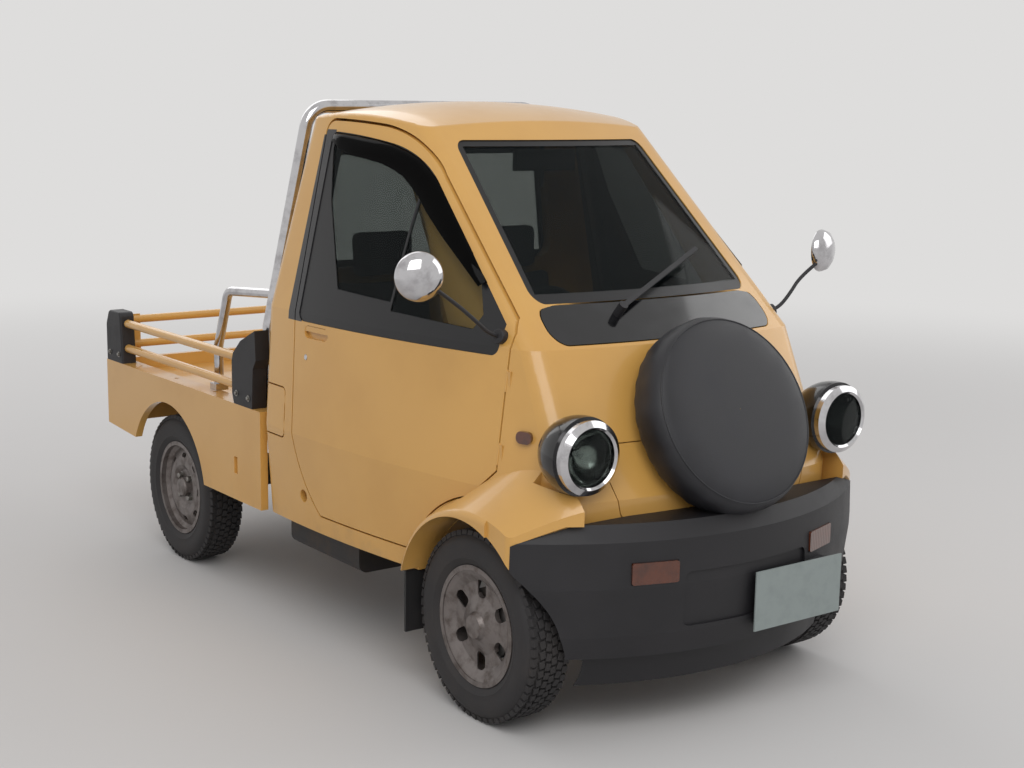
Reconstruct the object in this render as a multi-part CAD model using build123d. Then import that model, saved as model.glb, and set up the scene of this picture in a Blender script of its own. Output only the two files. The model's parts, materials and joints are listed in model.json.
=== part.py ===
from build123d import *
from math import asin, cos, degrees, radians, sin, sqrt
import os

# A two-seat kei pickup: X to its left, Y to its rear, Z up, the origin on the ground at mid-length.
# Along the truck, the cab's and nose's places are given as distances behind the front axle.

# Overall places
overall_length = 2790.0
front_overhang = 450.0
wheelbase = 1840.0
front_axle_y = front_overhang - overall_length / 2
rear_axle_y = front_axle_y + wheelbase
rear_end_y = overall_length / 2 + 6
reach = 2400.0
seat_gap = 0.3
shut_gap = 5.0

# Wheels and tyres
tyre_radius = 264.0
hub_z = tyre_radius
wheel_track_half = 530.0
tyre_half_width = 72.0
tyre_bead_radius = 158.0
tyre_shoulder = 22.0
tyre_crown_half = 44.0
rim_flange_radius = 167.0
rim_flange_half = 60.0
rim_flange_thick = 4.0
rim_wall = 4.5
rim_well_radius = 145.0
rim_well_half = 30.0
rim_seat_start = 40.0
disc_offset = 28.0
disc_thick = 7.0
hub_cap_radius = 34.0
hub_cap_length = 24.0
vent_length = 30.0
vent_width = 16.0
vent_circle_radius = 116.0
vent_count = 8
cover_edge_radius = 155.0
cover_thick = 3.0
cover_hole_width = 38.0
cover_hole_length = 50.0
cover_hole_round = 15.0
cover_hole_circle = 101.0
cover_hole_count = 6

# Steering knuckles
kingpin_x = 478.0
kingpin_radius = 17.0
kingpin_half = 62.0
knuckle_half_y = 34.0
knuckle_thick = 26.0
spindle_radius = 20.0
drum_radius = 98.0
drum_width = 46.0
drum_inset = 30.0
hub_flange_radius = 55.0
arm_tip = 8.0
arm_tip_half = 14.0
lower_arm_z = 180.0
arm_thick = 18.0
strut_x = 395.0
strut_radius = 20.0
coil_radius = 36.0

# Cab shell
floor_bottom_z = 350.0
floor_thick = 34.0
wall_thick = 45.0
roof_thick = 34.0
front_thick = 52.0
roof_long_radius = 1200.0
roof_cross_radius = 3000.0
roof_edge_round = 14.0
platform_z = 640.0
engine_bay_half = 430.0
sill_split_y = 313.0
sill_split_z = 500.0
cant_height = 56.0
cant_stop = 12.0
roof_seam_slope = 0.25
platform_front_y = front_axle_y + 615.0
door_top_z = 1588.0
roof_crown_z = door_top_z + 62.0
roof_crown_y = front_axle_y + 850.0
# Columns: height, rear y, rear half width, waist y, waist half width, corner y, corner half width,
# nose y, rear corner radius, front corner radius; each y is measured back from the front axle
cab_levels = (
    (350.0, 1110.0, 622.0, 495.0, 610.0, -260.0, 470.0, -317.0, 55.0, 80.0),
    (640.0, 1110.0, 642.0, 495.0, 626.0, -260.0, 480.0, -317.0, 55.0, 80.0),
    (1014.0, 1105.0, 622.0, 495.0, 598.0, -85.0, 478.0, -145.0, 55.0, 70.0),
    (roof_crown_z + 10.0, 1035.0, 476.0, 785.0, 462.0, 615.0, 398.0, 565.0, 55.0, 60.0),
)

# Wheel arches and houses
arch_radius = 290.0
rear_arch_radius = 302.0
arch_centre_z = 280.0
house_inner_x = 300.0
house_wall = 22.0
flare_lip = 40.0

# Door outline and window, seen from the side: places behind the front axle, and heights
door_front_y = -15.0
door_front_low_z = 690.0
door_belt_z = 1050.0
door_foot_z = 408.0
door_rear_foot_y = 755.0
door_rear_low_y = 897.0
door_rear_low_z = 640.0
door_rear_top_y = 919.0
door_pillar_low_z = 1085.0
door_pillar_cover = 12.0
door_corner = 40.0
# The door's head sweeps out of the windscreen pillar. Columns: place behind the front axle, drop below the top
door_head = ((395.0, 148.0), (517.0, 58.0), (655.0, 13.0), (780.0, 3.0))
window_low_z = 990.0
window_belt_z = 1074.0
window_cover = 40.0
window_front_y = 20.0
window_rear_y = 885.0
window_head = ((407.0, 157.0), (495.0, 98.0), (605.0, 60.0), (745.0, 40.0), (885.0, 31.0))
window_corner = 26.0
glass_inset = 3.0
glass_thick = 5.0
door_head_gap = 8.0
door_edge_thick = 15.0
door_edge_step = 22.0
door_hinge_radius = 2.2
door_hinge_length = 60.0
door_hinge_zs = (735.0, 930.0)
hinge_leaf_reach = 14.0
hinge_leaf_inner = 4.0
handle_y = 783.0
handle_z = 962.0
handle_length = 128.0
handle_height = 38.0
handle_depth = 12.0
handle_bar = 16.0
lock_y = 835.0
lock_z = 884.0
lock_radius = 9.0

# Fixed windows, seen from the front as half widths and heights
screen_low_z = 1120.0
screen_top_z = roof_crown_z - 108.0
screen_low_half = 396.0
screen_top_half = 346.0
screen_corner = 34.0
cowl_low_z = 1024.0
cowl_low_half = 404.0
cowl_thick = 14.0
cowl_corner = 40.0
nose_corner = 20.0
rear_window_low_z = 1120.0
rear_window_top_z = roof_crown_z - 150.0
rear_window_low_half = 470.0
rear_window_top_half = 400.0
rear_window_corner = 45.0

# Fuel lid on the right rear quarter
lid_y = 1021.0
lid_z = 694.0
lid_half_y = 68.0
lid_half_z = 76.0
lid_thick = 12.0
lid_corner = 16.0
lid_tab_half = 9.0
lid_tab_z = 40.0
lid_pin_radius = 2.2
lid_pin_depth = 2.4
lid_pin_reach = 6.0

# Front
bumper_front_y = -overall_length / 2
bumper_arc_radius = 993.0
bumper_half_width = 640.0
bumper_top_z = 596.0
bumper_wrap_y = -212.0
bumper_wrap_z = 544.0
bumper_shoulder_y = -295.0
bumper_corner = 40.0
bumper_recess_half = 222.0
bumper_recess_low_z = 312.0
bumper_recess_top_z = 462.0
bumper_recess_depth = 7.0
bumper_bottom_z = 150.0
bumper_rear_y = -115.0
# Columns: height, how far the bumper's outline is drawn in there
bumper_levels = (
    (bumper_bottom_z, 70.0), (232.0, 50.0), (239.0, 20.0), (300.0, 8.0), (430.0, 0.0), (552.0, 4.0),
    (bumper_top_z, 26.0),
)
amber_x = 306.0
amber_z = 468.0
amber_width = 132.0
amber_height = 58.0
amber_depth = 40.0
amber_proud = 2.0
amber_corner = 7.0
marker_y = -88.0
marker_z = 792.0
marker_length = 50.0
marker_height = 32.0
marker_proud = 9.0
flare_half_width = 645.0
flare_inner_x = 480.0
flare_foot_z = 358.0
flare_outer_radius = 302.0
flare_inner_radius = 366.0
flare_round = 22.0
lamp_x = 465.0
lamp_y = front_axle_y - 296.0
lamp_z = 773.0
lens_radius = 75.0
lamp_rim_radius = 97.0
lamp_rim_depth = 34.0
pod_radius = 103.0
pod_length = 132.0
pod_tip_radius = 36.0
bowl_depth = 44.0
bowl_tip_radius = 12.0
bowl_thick = 2.5
bulb_radius = 9.0
bulb_length = 26.0
lens_front = 22.0
nose_panel_half = 372.0
nose_panel_foot_half = 330.0
nose_panel_top_z = 775.0
nose_panel_foot_z = 590.0
nose_panel_thick = 12.0
panel_gap = 3.0
spare_radius = 272.0
spare_half_thick = 68.0
# Columns: how far each shoulder point lies inside the rim, and below the face
spare_shoulder = ((40.0, 0.0), (24.0, 4.0), (9.0, 15.0), (2.0, 30.0), (0.0, 46.0))
spare_tilt = 25.0
spare_y = front_axle_y - 314.0
spare_z = 833.0
carrier_radius = 60.0
plate_width = 330.0
plate_height = 165.0
plate_thick = 4.0
plate_standoff = 8.0
plate_x = 165.0
plate_z = 350.0

# Cab fittings: places behind the front axle, and heights
seat_x = 250.0
seat_half_width = 215.0
seat_round = 22.0
seat_points = ((645.0, 0.0), (1005.0, 0.0), (1048.0, 455.0), (985.0, 465.0), (905.0, 150.0), (640.0, 128.0))
headrest_half = 120.0
headrest_points = ((1000.0, 440.0), (1040.0, 440.0), (1048.0, 615.0), (975.0, 610.0), (968.0, 480.0))
dash_half = 440.0
dash_points = ((-255.0, 1000.0), (-15.0, 1000.0), (95.0, 960.0), (125.0, 900.0), (95.0, 800.0), (-35.0, 760.0),
               (-255.0, 760.0))
steering_wheel_y = 255.0
steering_wheel_z = 985.0
steering_ring_radius = 178.0
steering_grip = 13.0
column_tilt = 58.0
column_length = 240.0
cabin_mirror_y = 493.0

# Bed
bed_half_width = 642.0
bed_flange_z = 668.0
bed_floor_z = 622.0
bed_floor_thick = 30.0
bed_flange_width = 70.0
bed_side_thick = 26.0
bed_flange_thick = 16.0
bed_lip = 12.0
bed_board_thick = 20.0
bed_slot_y = front_axle_y + 1276.0
bed_slot_z = 434.0
bed_slot_width = 24.0
bed_slot_height = 56.0
bed_slot_depth = 9.0
flange_hole_radius = 8.0
flange_hole_inset = 40.0
flange_hole_ys = (567.0, 872.0, 1177.0)
bed_front_foot_z = 345.0
bed_rear_foot_z = 424.0
post_height = 190.0
rear_post_length = 146.0
rear_post_width = 54.0
rear_post_round = 20.0
rear_post_taper = 26.0
rear_post_edge = 8.0
front_post_width = 50.0
front_post_rear = 192.0
# Front post from the side. Columns: place behind the bed's start, height above its flange
front_post_points = ((30.0, 257.0), (130.0, 212.0), (182.0, 167.0), (front_post_rear, 140.0), (front_post_rear, 32.0),
                     (180.0, 0.0), (55.0, 0.0), (45.0, 132.0), (25.0, 162.0))
rail_inset = 26.0
rail_radius = 15.0
rail_low_z = 724.0
rail_high_z = 817.0
gate_inset_y = 40.0
gate_plate_width = 60.0
gate_plate_thick = 8.0
gate_plate_reach = 20.0
gate_pin_radius = 8.0
hoop_radius = 21.0
hoop_y = front_axle_y + 1183.0
hoop_foot_x = 569.0
hoop_lean = 60.0
stay_bend = 45.0
hoop_top_x = 448.0
hoop_top_z = roof_crown_z - 22.0
hoop_corner = 75.0
hoop_bend_z = 930.0
stay_radius = 16.0
stay_top_z = 1035.0
stay_back = 285.0
stay_spread = 365.0
stay_foot = 46.0

# Chassis
rail_x = 262.0
rail_width = 50.0
rail_height = 78.0
rail_bottom_z = floor_bottom_z - rail_height
rear_rail_z = 440.0


def back(distance):
    # The place along the truck that lies this far behind the front axle.
    return front_axle_y + distance


def yz_face(points):
    return make_face(Plane.YZ * Polyline(*points, close=True))


def side_prism(face, low_x, high_x):
    return Pos(low_x, 0, 0) * extrude(face, high_x - low_x, dir=(1, 0, 0))


def both_sides(shape):
    return [shape, mirror(shape, about=Plane.YZ)]


def block(low, high):
    size = [b - a for a, b in zip(low, high)]
    middle = [(a + b) / 2 for a, b in zip(low, high)]
    return Pos(*middle) * Box(*size)


def across_x(shape):
    # A shape of revolution made along Z, turned to lie along X.
    return Rot(0, 90, 0) * shape


def revolved(profile):
    # Profile points are radius, height.
    return revolve(make_face(Plane.XZ * Polyline(*profile, close=True)), Axis.Z)


os.makedirs("parts", exist_ok=True)


def write(name, *solids):
    export_step(Compound(children=list(solids)) if len(solids) > 1 else solids[0], f"parts/{name}.step")


# One level of the cab: a closed outline of arcs, drawn in by the wall's thickness where one is given.
def cab_section(level, side=0.0, front=0.0, rear=0.0):
    z, rear_y, rear_x, waist_y, waist_x, corner_y, corner_x, nose_y, rear_r, front_r = level
    a = (rear_x - side, back(rear_y) - rear)
    b = (waist_x - side, back(waist_y))
    c = (corner_x - side, back(corner_y) + front)
    n = (0, back(nose_y) + front)
    outline = [
        Line((-a[0], a[1]), a),
        ThreePointArc(a, b, c),
        ThreePointArc(c, n, (-c[0], c[1])),
        ThreePointArc((-c[0], c[1]), (-b[0], b[1]), (-a[0], a[1])),
    ]
    face = make_face(outline)
    rear_corners = face.vertices().sort_by(Axis.Y)[-2:]
    face = fillet(rear_corners, rear_r)
    nose = face.vertices().sort_by(Axis.Y)[:2]
    face = fillet(nose, front_r)
    return Pos(0, 0, z) * face


def roof_tool(drop):
    # Everything below the doubly curved roof, the drop lower than its outside.
    axis_z = roof_crown_z - roof_long_radius
    half = 700.0
    sag = roof_cross_radius - sqrt(roof_cross_radius**2 - half**2)
    top = roof_long_radius - drop
    outline = [
        ThreePointArc((-half, top - sag), (0, top), (half, top - sag)),
        Line((half, top - sag), (half, 20)),
        Line((half, 20), (-half, 20)),
        Line((-half, 20), (-half, top - sag)),
    ]
    face = make_face(Plane.XZ * Wire(outline))
    return Pos(0, roof_crown_y, axis_z) * revolve(face, Axis.X, 360)


def cab_solid(side=0.0, front=0.0, rear=0.0, roof=0.0, levels=cab_levels):
    body = loft([cab_section(level, side, front, rear) for level in levels], ruled=True)
    return body & roof_tool(roof)


def skin(low_depth, high_depth):
    # The layer of the cab between two depths below its outside, measured square to it.
    slope = 1.45
    outside = cab_solid(low_depth, slope * low_depth, low_depth, low_depth)
    return outside - cab_solid(high_depth, slope * high_depth, high_depth, high_depth)


def wheel_space(axle_y, radius, inner_x):
    tube = Pos(0, axle_y, arch_centre_z) * across_x(Cylinder(radius, 1500))
    return tube - block((-inner_x, axle_y - 400, -50), (inner_x, axle_y + 400, 700))


def yz_wire_face(edges):
    return make_face(Plane.YZ * Wire(edges))


def pillar_point(z, cover):
    # A point on a line the cover behind the cab's windscreen corner.
    belt, top = cab_levels[2], cab_levels[3]
    share = (z - belt[0]) / (top[0] - belt[0])
    return (back(belt[5] + share * (top[5] - belt[5]) + cover), z)


def head_points(rows):
    # Points of a door's or window's head, from their places behind the axle and drops below the door's top.
    return [(back(y), door_top_z - drop) for y, drop in rows]


# Door outline, seen from the side
def door_outline():
    pillar_low = pillar_point(door_pillar_low_z, door_pillar_cover)
    pillar_high, sweep, head, crown = head_points(door_head)
    front_low, front_belt = (back(door_front_y), door_front_low_z), (back(door_front_y), door_belt_z)
    top_rear = (back(door_rear_top_y), door_top_z)
    ring = arch_radius + flare_lip + shut_gap
    foot = door_foot_z - arch_centre_z
    front_foot = (front_axle_y + sqrt(ring**2 - foot**2), door_foot_z)
    middle = (front_axle_y + ring * cos(radians(50)), arch_centre_z + ring * sin(radians(50)))
    crest = (front_axle_y + ring * cos(radians(78)), arch_centre_z + ring * sin(radians(78)))
    rear_foot = (back(door_rear_foot_y), door_foot_z)
    rear_low = (back(door_rear_low_y), door_rear_low_z)
    bend = (back(0.31 * door_rear_foot_y + 0.69 * door_rear_low_y), (door_foot_z + door_rear_low_z) / 2)
    face = yz_wire_face([
        Line(rear_foot, front_foot),
        ThreePointArc(front_foot, middle, crest),
        Line(crest, front_low),
        Line(front_low, front_belt),
        Line(front_belt, pillar_low),
        Line(pillar_low, pillar_high),
        ThreePointArc(pillar_high, sweep, head),
        ThreePointArc(head, crown, top_rear),
        Line(top_rear, rear_low),
        ThreePointArc(rear_low, bend, rear_foot),
    ])
    corner = face.vertices().sort_by_distance((0, *top_rear))[0]
    return fillet(corner, door_corner)


def window_outline():
    low_rear = (back(window_rear_y), window_low_z)
    low_front = (back(window_front_y), window_low_z)
    belt_front = pillar_point(window_belt_z, window_cover)
    pillar_high, sweep, head, crown, top_rear = head_points(window_head)
    face = yz_wire_face([
        Line(low_rear, low_front),
        Line(low_front, belt_front),
        Line(belt_front, pillar_high),
        ThreePointArc(pillar_high, sweep, head),
        ThreePointArc(head, crown, top_rear),
        Line(top_rear, low_rear),
    ])
    corners = [face.vertices().sort_by_distance((0, *p))[0] for p in (low_rear, low_front, top_rear)]
    return fillet(corners, window_corner)


def front_outline(low_half, low_z, top_half, top_z, corner):
    outline = Polyline((-low_half, low_z), (low_half, low_z), (top_half, top_z), (-top_half, top_z), close=True)
    face = make_face(Plane.XZ * outline)
    return fillet(face.vertices(), corner)


def front_prism(face, low_y, high_y):
    return Pos(0, low_y, 0) * extrude(face, high_y - low_y, dir=(0, 1, 0))


# Cab shell and its split into panels
cab_outside = cab_solid()
cab_outside = fillet(cab_outside.faces().sort_by(Axis.Z)[-1].edges(), roof_edge_round)
cab_inside = cab_solid(wall_thick, front_thick, wall_thick, roof_thick)
front_houses = wheel_space(front_axle_y, arch_radius, house_inner_x)
grown_houses = wheel_space(front_axle_y, arch_radius + house_wall, house_inner_x - house_wall)
engine_bay = block((-engine_bay_half, platform_front_y + floor_thick, 0), (engine_bay_half, reach, platform_z - floor_thick))
platform_block = block((-reach, platform_front_y, 0), (reach, reach, platform_z))
floor_slab = block((-reach, -reach, 0), (reach, reach, floor_bottom_z + floor_thick))
cab_room = cab_inside - grown_houses - platform_block - floor_slab
cab_shell = cab_outside - front_houses - engine_bay - cab_room
cab_floor = cab_shell & cab_solid(wall_thick + shut_gap, front_thick, wall_thick, roof_thick)
cab_walls = cab_shell - cab_inside
side_core = cab_solid(wall_thick)

door_face = door_outline()
door_gap_face = offset(door_face, shut_gap)
window_face = window_outline()
roof_split_z = door_top_z + door_head_gap
door_gap_prism = side_prism(door_gap_face, -reach, 0)
right_door_space = door_gap_prism + Pos(0, 0, door_head_gap - shut_gap) * door_gap_prism
right_door_space = right_door_space - cab_solid(wall_thick + shut_gap)
door_spaces = both_sides(right_door_space)
screen_face = front_outline(screen_low_half, screen_low_z, screen_top_half, screen_top_z, screen_corner)
cowl_face = front_outline(cowl_low_half, cowl_low_z, screen_low_half, screen_low_z - panel_gap, cowl_corner)
rear_face = front_outline(
    rear_window_low_half, rear_window_low_z, rear_window_top_half, rear_window_top_z, rear_window_corner
)
nose_face = front_outline(nose_panel_foot_half, nose_panel_foot_z, nose_panel_half, nose_panel_top_z, nose_corner)
screen_hole = front_prism(screen_face, -reach, roof_crown_y)
rear_hole = front_prism(rear_face, roof_crown_y, reach)

walls = cab_walls - door_spaces[0] - door_spaces[1] - screen_hole - rear_hole
cant_front_y = head_points(door_head)[2][0]
roof_low_y = cant_front_y - reach
roof_zone = side_prism(yz_face([
    (roof_low_y, roof_split_z - roof_seam_slope * reach), (cant_front_y, roof_split_z), (reach, roof_split_z),
    (reach, reach), (roof_low_y, reach),
]), -reach, reach)
cant_low_z = roof_split_z - cant_height
roof_zone = roof_zone + block((-reach, cant_front_y, cant_low_z), (reach, back(door_rear_top_y) - cant_stop, roof_split_z + 1))
rear_zone = block((-reach, back(sill_split_y), 0), (reach, reach, sill_split_z))
rear_zone = rear_zone + block((-reach, cant_front_y, 0), (reach, reach, roof_split_z))
cab_roof = walls & roof_zone
cab_rear = (walls - roof_zone) & rear_zone
cab_front = walls - roof_zone - rear_zone

# Panels let into the front: the gloss cowl panel and the nose panel
cowl_skin = skin(0, cowl_thick)
cowl_panel = skin(0, cowl_thick - seat_gap) & front_prism(cowl_face, -reach, front_axle_y)
cab_front = cab_front - (cowl_skin & front_prism(offset(cowl_face, panel_gap), -reach, front_axle_y))
nose_skin = skin(0, nose_panel_thick)
nose_panel = skin(0, nose_panel_thick - seat_gap) & front_prism(nose_face, -reach, front_axle_y)
cab_front = cab_front - (nose_skin & front_prism(offset(nose_face, panel_gap), -reach, front_axle_y))

glass_layer = skin(glass_inset, glass_inset + glass_thick)
screen_glass = glass_layer & front_prism(offset(screen_face, -seat_gap), -reach, roof_crown_y)
rear_glass = glass_layer & front_prism(offset(rear_face, -seat_gap), roof_crown_y, reach)

# Doors: each as thick as the cab's wall, thinner over the wheel, with its window, pull and lock
door_right = (cab_walls - side_core) & side_prism(door_face, -reach, 0)
door_right = door_right - side_prism(window_face, -reach, 0)
door_step = wheel_space(front_axle_y, arch_radius + flare_lip + shut_gap + door_edge_step, house_inner_x)
door_right = door_right - (door_step & cab_solid(door_edge_thick))
door_glass_right = glass_layer & side_prism(offset(window_face, -seat_gap), -reach, 0)
handle_face = Pos(back(handle_y), handle_z) * RectangleRounded(handle_length, handle_height, handle_height / 2 - 1)
bar_face = Pos(back(handle_y), handle_z + handle_height / 4) * Rectangle(handle_length + 2, handle_bar)
handle_pocket = skin(-1, handle_depth) & side_prism(Plane.YZ * handle_face, -reach, 0)
handle_pocket = handle_pocket - (skin(1, handle_depth / 2) & side_prism(Plane.YZ * bar_face, -reach, 0))
lock_face = Pos(back(lock_y), lock_z) * Circle(lock_radius)
lock_pocket = skin(-1, 2) & side_prism(Plane.YZ * lock_face, -reach, 0)
door_right = door_right - handle_pocket - lock_pocket


def skin_x(y, z):
    # How far to the right the cab's side stands at that place.
    chord = Edge.make_line((-reach, y, z), (0, y, z)) & cab_outside
    return min(edge.bounding_box().min.X for edge in chord.edges())


# Door hinge barrels in the front gap, on the line that the door turns about, each with its leaf on the pillar
axis_y = back(door_front_y) - shut_gap / 2
axis_low, axis_high = [Vector(skin_x(axis_y, z), axis_y, z) for z in door_hinge_zs]
door_axis = (axis_high - axis_low).normalized()
for foot in (axis_low, axis_high):
    barrel = Plane(origin=foot, z_dir=door_axis) * Cylinder(door_hinge_radius, door_hinge_length)
    leaf = block((foot.X + door_hinge_radius / 2, axis_y - hinge_leaf_reach, foot.Z - door_hinge_length / 2 + 5),
                 (foot.X + hinge_leaf_inner, axis_y, foot.Z + door_hinge_length / 2 - 5))
    for piece in both_sides(barrel + leaf):
        cab_front = cab_front + piece

# Fuel lid, with hinge pins in its front gap
lid_front_y = back(lid_y) - lid_half_y
lid_outline = Pos(back(lid_y), lid_z) * RectangleRounded(2 * lid_half_y, 2 * lid_half_z, lid_corner)
lid_hole = side_prism(Plane.YZ * offset(lid_outline, shut_gap), -reach, 0)
for z in (lid_z - lid_tab_z, lid_z + lid_tab_z):
    lid_outline = lid_outline + Pos(lid_front_y, z) * Rectangle(shut_gap, 2 * lid_tab_half)
lid_outline = lid_outline - Pos(lid_front_y - shut_gap, lid_z) * Rectangle(shut_gap, 4 * lid_half_z)
fuel_lid = skin(0, lid_thick) & side_prism(Plane.YZ * lid_outline, -reach, 0)
pin_y = lid_front_y - shut_gap / 2
pin_low, pin_high = [
    Vector(skin_x(pin_y, z) + lid_pin_depth, pin_y, z) for z in (lid_z - lid_tab_z, lid_z + lid_tab_z)
]
lid_axis = (pin_high - pin_low).normalized()
for foot in (pin_low, pin_high):
    fuel_lid = fuel_lid + Plane(origin=foot, z_dir=lid_axis) * Cylinder(
        lid_pin_radius, 2 * (lid_tab_half + lid_pin_reach)
    )
cab_rear = cab_rear - (skin(0, lid_thick + shut_gap) & lid_hole)

# Front bumper: a wide arc in plan that wraps to the wheels
def bumper_plan(front_drop):
    radius = bumper_arc_radius - front_drop
    centre_y = bumper_front_y + bumper_arc_radius
    half = bumper_half_width - 0.4 * front_drop
    side_y = centre_y - sqrt(radius**2 - half**2)
    face = make_face([
        ThreePointArc((-half, side_y), (0, centre_y - radius), (half, side_y)),
        Line((half, side_y), (half, back(bumper_rear_y))),
        Line((half, back(bumper_rear_y)), (-half, back(bumper_rear_y))),
        Line((-half, back(bumper_rear_y)), (-half, side_y)),
    ])
    return fillet(face.vertices().sort_by(Axis.Y)[:2], bumper_corner)



def bumper_solid(depth):
    return loft([Pos(0, 0, z) * bumper_plan(drop + depth) for z, drop in bumper_levels], ruled=True)


bumper_outside = bumper_solid(0)
bumper_side = yz_face([
    (-reach, 0), (back(bumper_wrap_y), 0), (back(bumper_wrap_y), bumper_wrap_z),
    (back(bumper_shoulder_y), bumper_top_z + 1), (-reach, bumper_top_z + 1),
])
bumper_zone = side_prism(bumper_side, -reach, reach)
front_bumper = (bumper_outside & bumper_zone) - cab_outside - front_houses
front_bumper = front_bumper - block((-house_inner_x, back(bumper_shoulder_y), 0), (house_inner_x, reach, reach))
recess_face = front_outline(
    bumper_recess_half, bumper_recess_low_z, bumper_recess_half, bumper_recess_top_z, nose_corner
)
front_bumper = front_bumper - (front_prism(recess_face, -reach, front_axle_y) - bumper_solid(bumper_recess_depth))
plate_boss = block(
    (plate_x - plate_width / 2 + 20, bumper_front_y - plate_standoff, plate_z - plate_height / 2 + 15),
    (plate_x + plate_width / 2 - 20, bumper_front_y + 90, plate_z + plate_height / 2 - 15),
)
front_bumper = front_bumper + plate_boss

# Headlamps: a pod on each front corner, a bright rim, a reflector and a lens
pod_face = make_face([
    Line((0, 0), (pod_tip_radius, 0)),
    ThreePointArc((pod_tip_radius, 0), (0.84 * pod_radius, 0.38 * pod_length), (pod_radius, pod_length)),
    Line((pod_radius, pod_length), (0, pod_length)),
    Line((0, pod_length), (0, 0)),
])
rim_profile = ((lens_radius, 0), (lens_radius, lamp_rim_depth - 6), (lens_radius + 6, lamp_rim_depth),
               (lamp_rim_radius, lamp_rim_depth - 12), (lamp_rim_radius, 0))


def bowl(grow):
    # The reflector's bowl, its mouth at the pod's front face.
    mouth, tip, depth = lens_radius - 3 + grow, bowl_tip_radius + grow, bowl_depth + grow
    return revolve(Plane.XZ * make_face([
        Line((0, -depth), (tip, -depth)),
        ThreePointArc((tip, -depth), (0.72 * mouth, -0.5 * depth), (mouth, 0)),
        Line((mouth, 0), (mouth, lens_front - 4)),
        Line((mouth, lens_front - 4), (0, lens_front - 4)),
        Line((0, lens_front - 4), (0, -depth)),
    ]), Axis.Z)


lamp_place = Pos(-lamp_x, lamp_y, lamp_z) * Rot(90, 0, 0)
pod = lamp_place * (Pos(0, 0, -pod_length) * revolve(Plane.XZ * pod_face, Axis.Z) - bowl(seat_gap)) - cab_outside
grown_pod = lamp_place * Cylinder(pod_radius + panel_gap, 2 * pod_length)

# Front flares: each swells from a seam flush with the cab's side out to the lip of the arch
def flare_outline(radius, crest, nose, front_y):
    low = flare_foot_z - arch_centre_z
    foot = (front_axle_y + sqrt(radius**2 - low**2), flare_foot_z)
    side = (front_axle_y + radius * cos(radians(42)), arch_centre_z + radius * sin(radians(42)))
    shoulder = (front_axle_y + radius * cos(radians(70)), arch_centre_z + radius * sin(radians(70)))
    return yz_wire_face([
        ThreePointArc(foot, side, shoulder),
        ThreePointArc(shoulder, crest, nose),
        Line(nose, (front_y, flare_foot_z)),
        Line((front_y, flare_foot_z), foot),
    ])


flare_inner = flare_outline(flare_inner_radius, (back(-105), 738), (back(-345), 600), back(-365))
flare_outer = flare_outline(flare_outer_radius, (back(-85), 588), (back(-345), 462), back(-365))
flare_block = loft([Pos(-flare_half_width, 0, 0) * flare_outer, Pos(-flare_inner_x, 0, 0) * flare_inner], ruled=True)
outer_edges = flare_block.edges().filter_by(lambda e: abs(e.center().X + flare_half_width) < 0.1)
outer_edges = outer_edges.filter_by(lambda e: e.center().Z > flare_foot_z + 5 and e.center().Y > back(-355))
flare_block = fillet(outer_edges, flare_round)
front_plan = Pos(0, 0, bumper_bottom_z) * extrude(bumper_plan(6), reach)
rear_of_plan = block((-reach, back(bumper_rear_y), 0), (reach, reach, reach))
flare_block = flare_block & (front_plan + rear_of_plan)
right_flare = flare_block - cab_outside - front_houses - bumper_zone - side_prism(door_gap_face, -reach, 0) - grown_pod
right_flare = right_flare.solids().sort_by(SortBy.VOLUME)[-1]

rim = lamp_place * revolved(rim_profile)
lens_edge = lens_radius - seat_gap
lens_sphere = 190.0
lens_sag = lens_sphere - sqrt(lens_sphere**2 - lens_edge**2)
lens = (Pos(0, 0, lens_front + lens_sag - lens_sphere) * Sphere(lens_sphere)) & (
    Pos(0, 0, lens_front + lens_sag / 2) * Cylinder(lens_edge, lens_sag + 0.01)
)
lens = lamp_place * (lens + Pos(0, 0, lens_front - 2) * Cylinder(lens_edge, 4 - 2 * seat_gap))
reflector = bowl(0) - Pos(0, 0, bowl_thick) * bowl(-bowl_thick)
reflector = reflector + Pos(0, 0, -bowl_depth + 1) * Cylinder(
    bulb_radius, bulb_length, align=(Align.CENTER, Align.CENTER, Align.MIN)
)
reflector = lamp_place * (reflector & Pos(0, 0, -bowl_depth) * Cylinder(
    lens_radius, bowl_depth + lens_front - 4 - seat_gap, align=(Align.CENTER, Align.CENTER, Align.MIN)
))

# Amber lamps: a lens in each bumper end and a small marker behind each pod
amber_y = bumper_front_y + bumper_arc_radius - sqrt(bumper_arc_radius**2 - amber_x**2)
amber_turn = Rot(0, 0, -degrees(asin(amber_x / bumper_arc_radius)))
amber_place = Pos(-amber_x, amber_y, amber_z) * amber_turn * Pos(0, amber_depth / 2 - amber_proud, 0)
amber_box = Box(amber_width, amber_depth, amber_height)
bumper_lamp = amber_place * fillet(amber_box.edges().filter_by(Axis.Y), amber_corner)
bumper_lamp_hole = amber_place * Box(amber_width + 2 * seat_gap, amber_depth + 2 * seat_gap, amber_height + 2 * seat_gap)
front_bumper = front_bumper - bumper_lamp_hole - mirror(bumper_lamp_hole, about=Plane.YZ)
near_cab = cab_solid(-seat_gap, -1.45 * seat_gap, 0, 0)
marker_foot = Vector(-cab_levels[1][6], back(marker_y), marker_z)
marker_plane = Plane(origin=marker_foot, x_dir=(0.4, -0.9, 0), z_dir=(-0.9, -0.4, 0))
marker = marker_plane * extrude(RectangleRounded(marker_length, marker_height, marker_height / 2 - 1), 100)
marker = (marker & cab_solid(-marker_proud, -1.45 * marker_proud)) - near_cab
marker = marker.solids().sort_by(SortBy.VOLUME)[-1]

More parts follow.
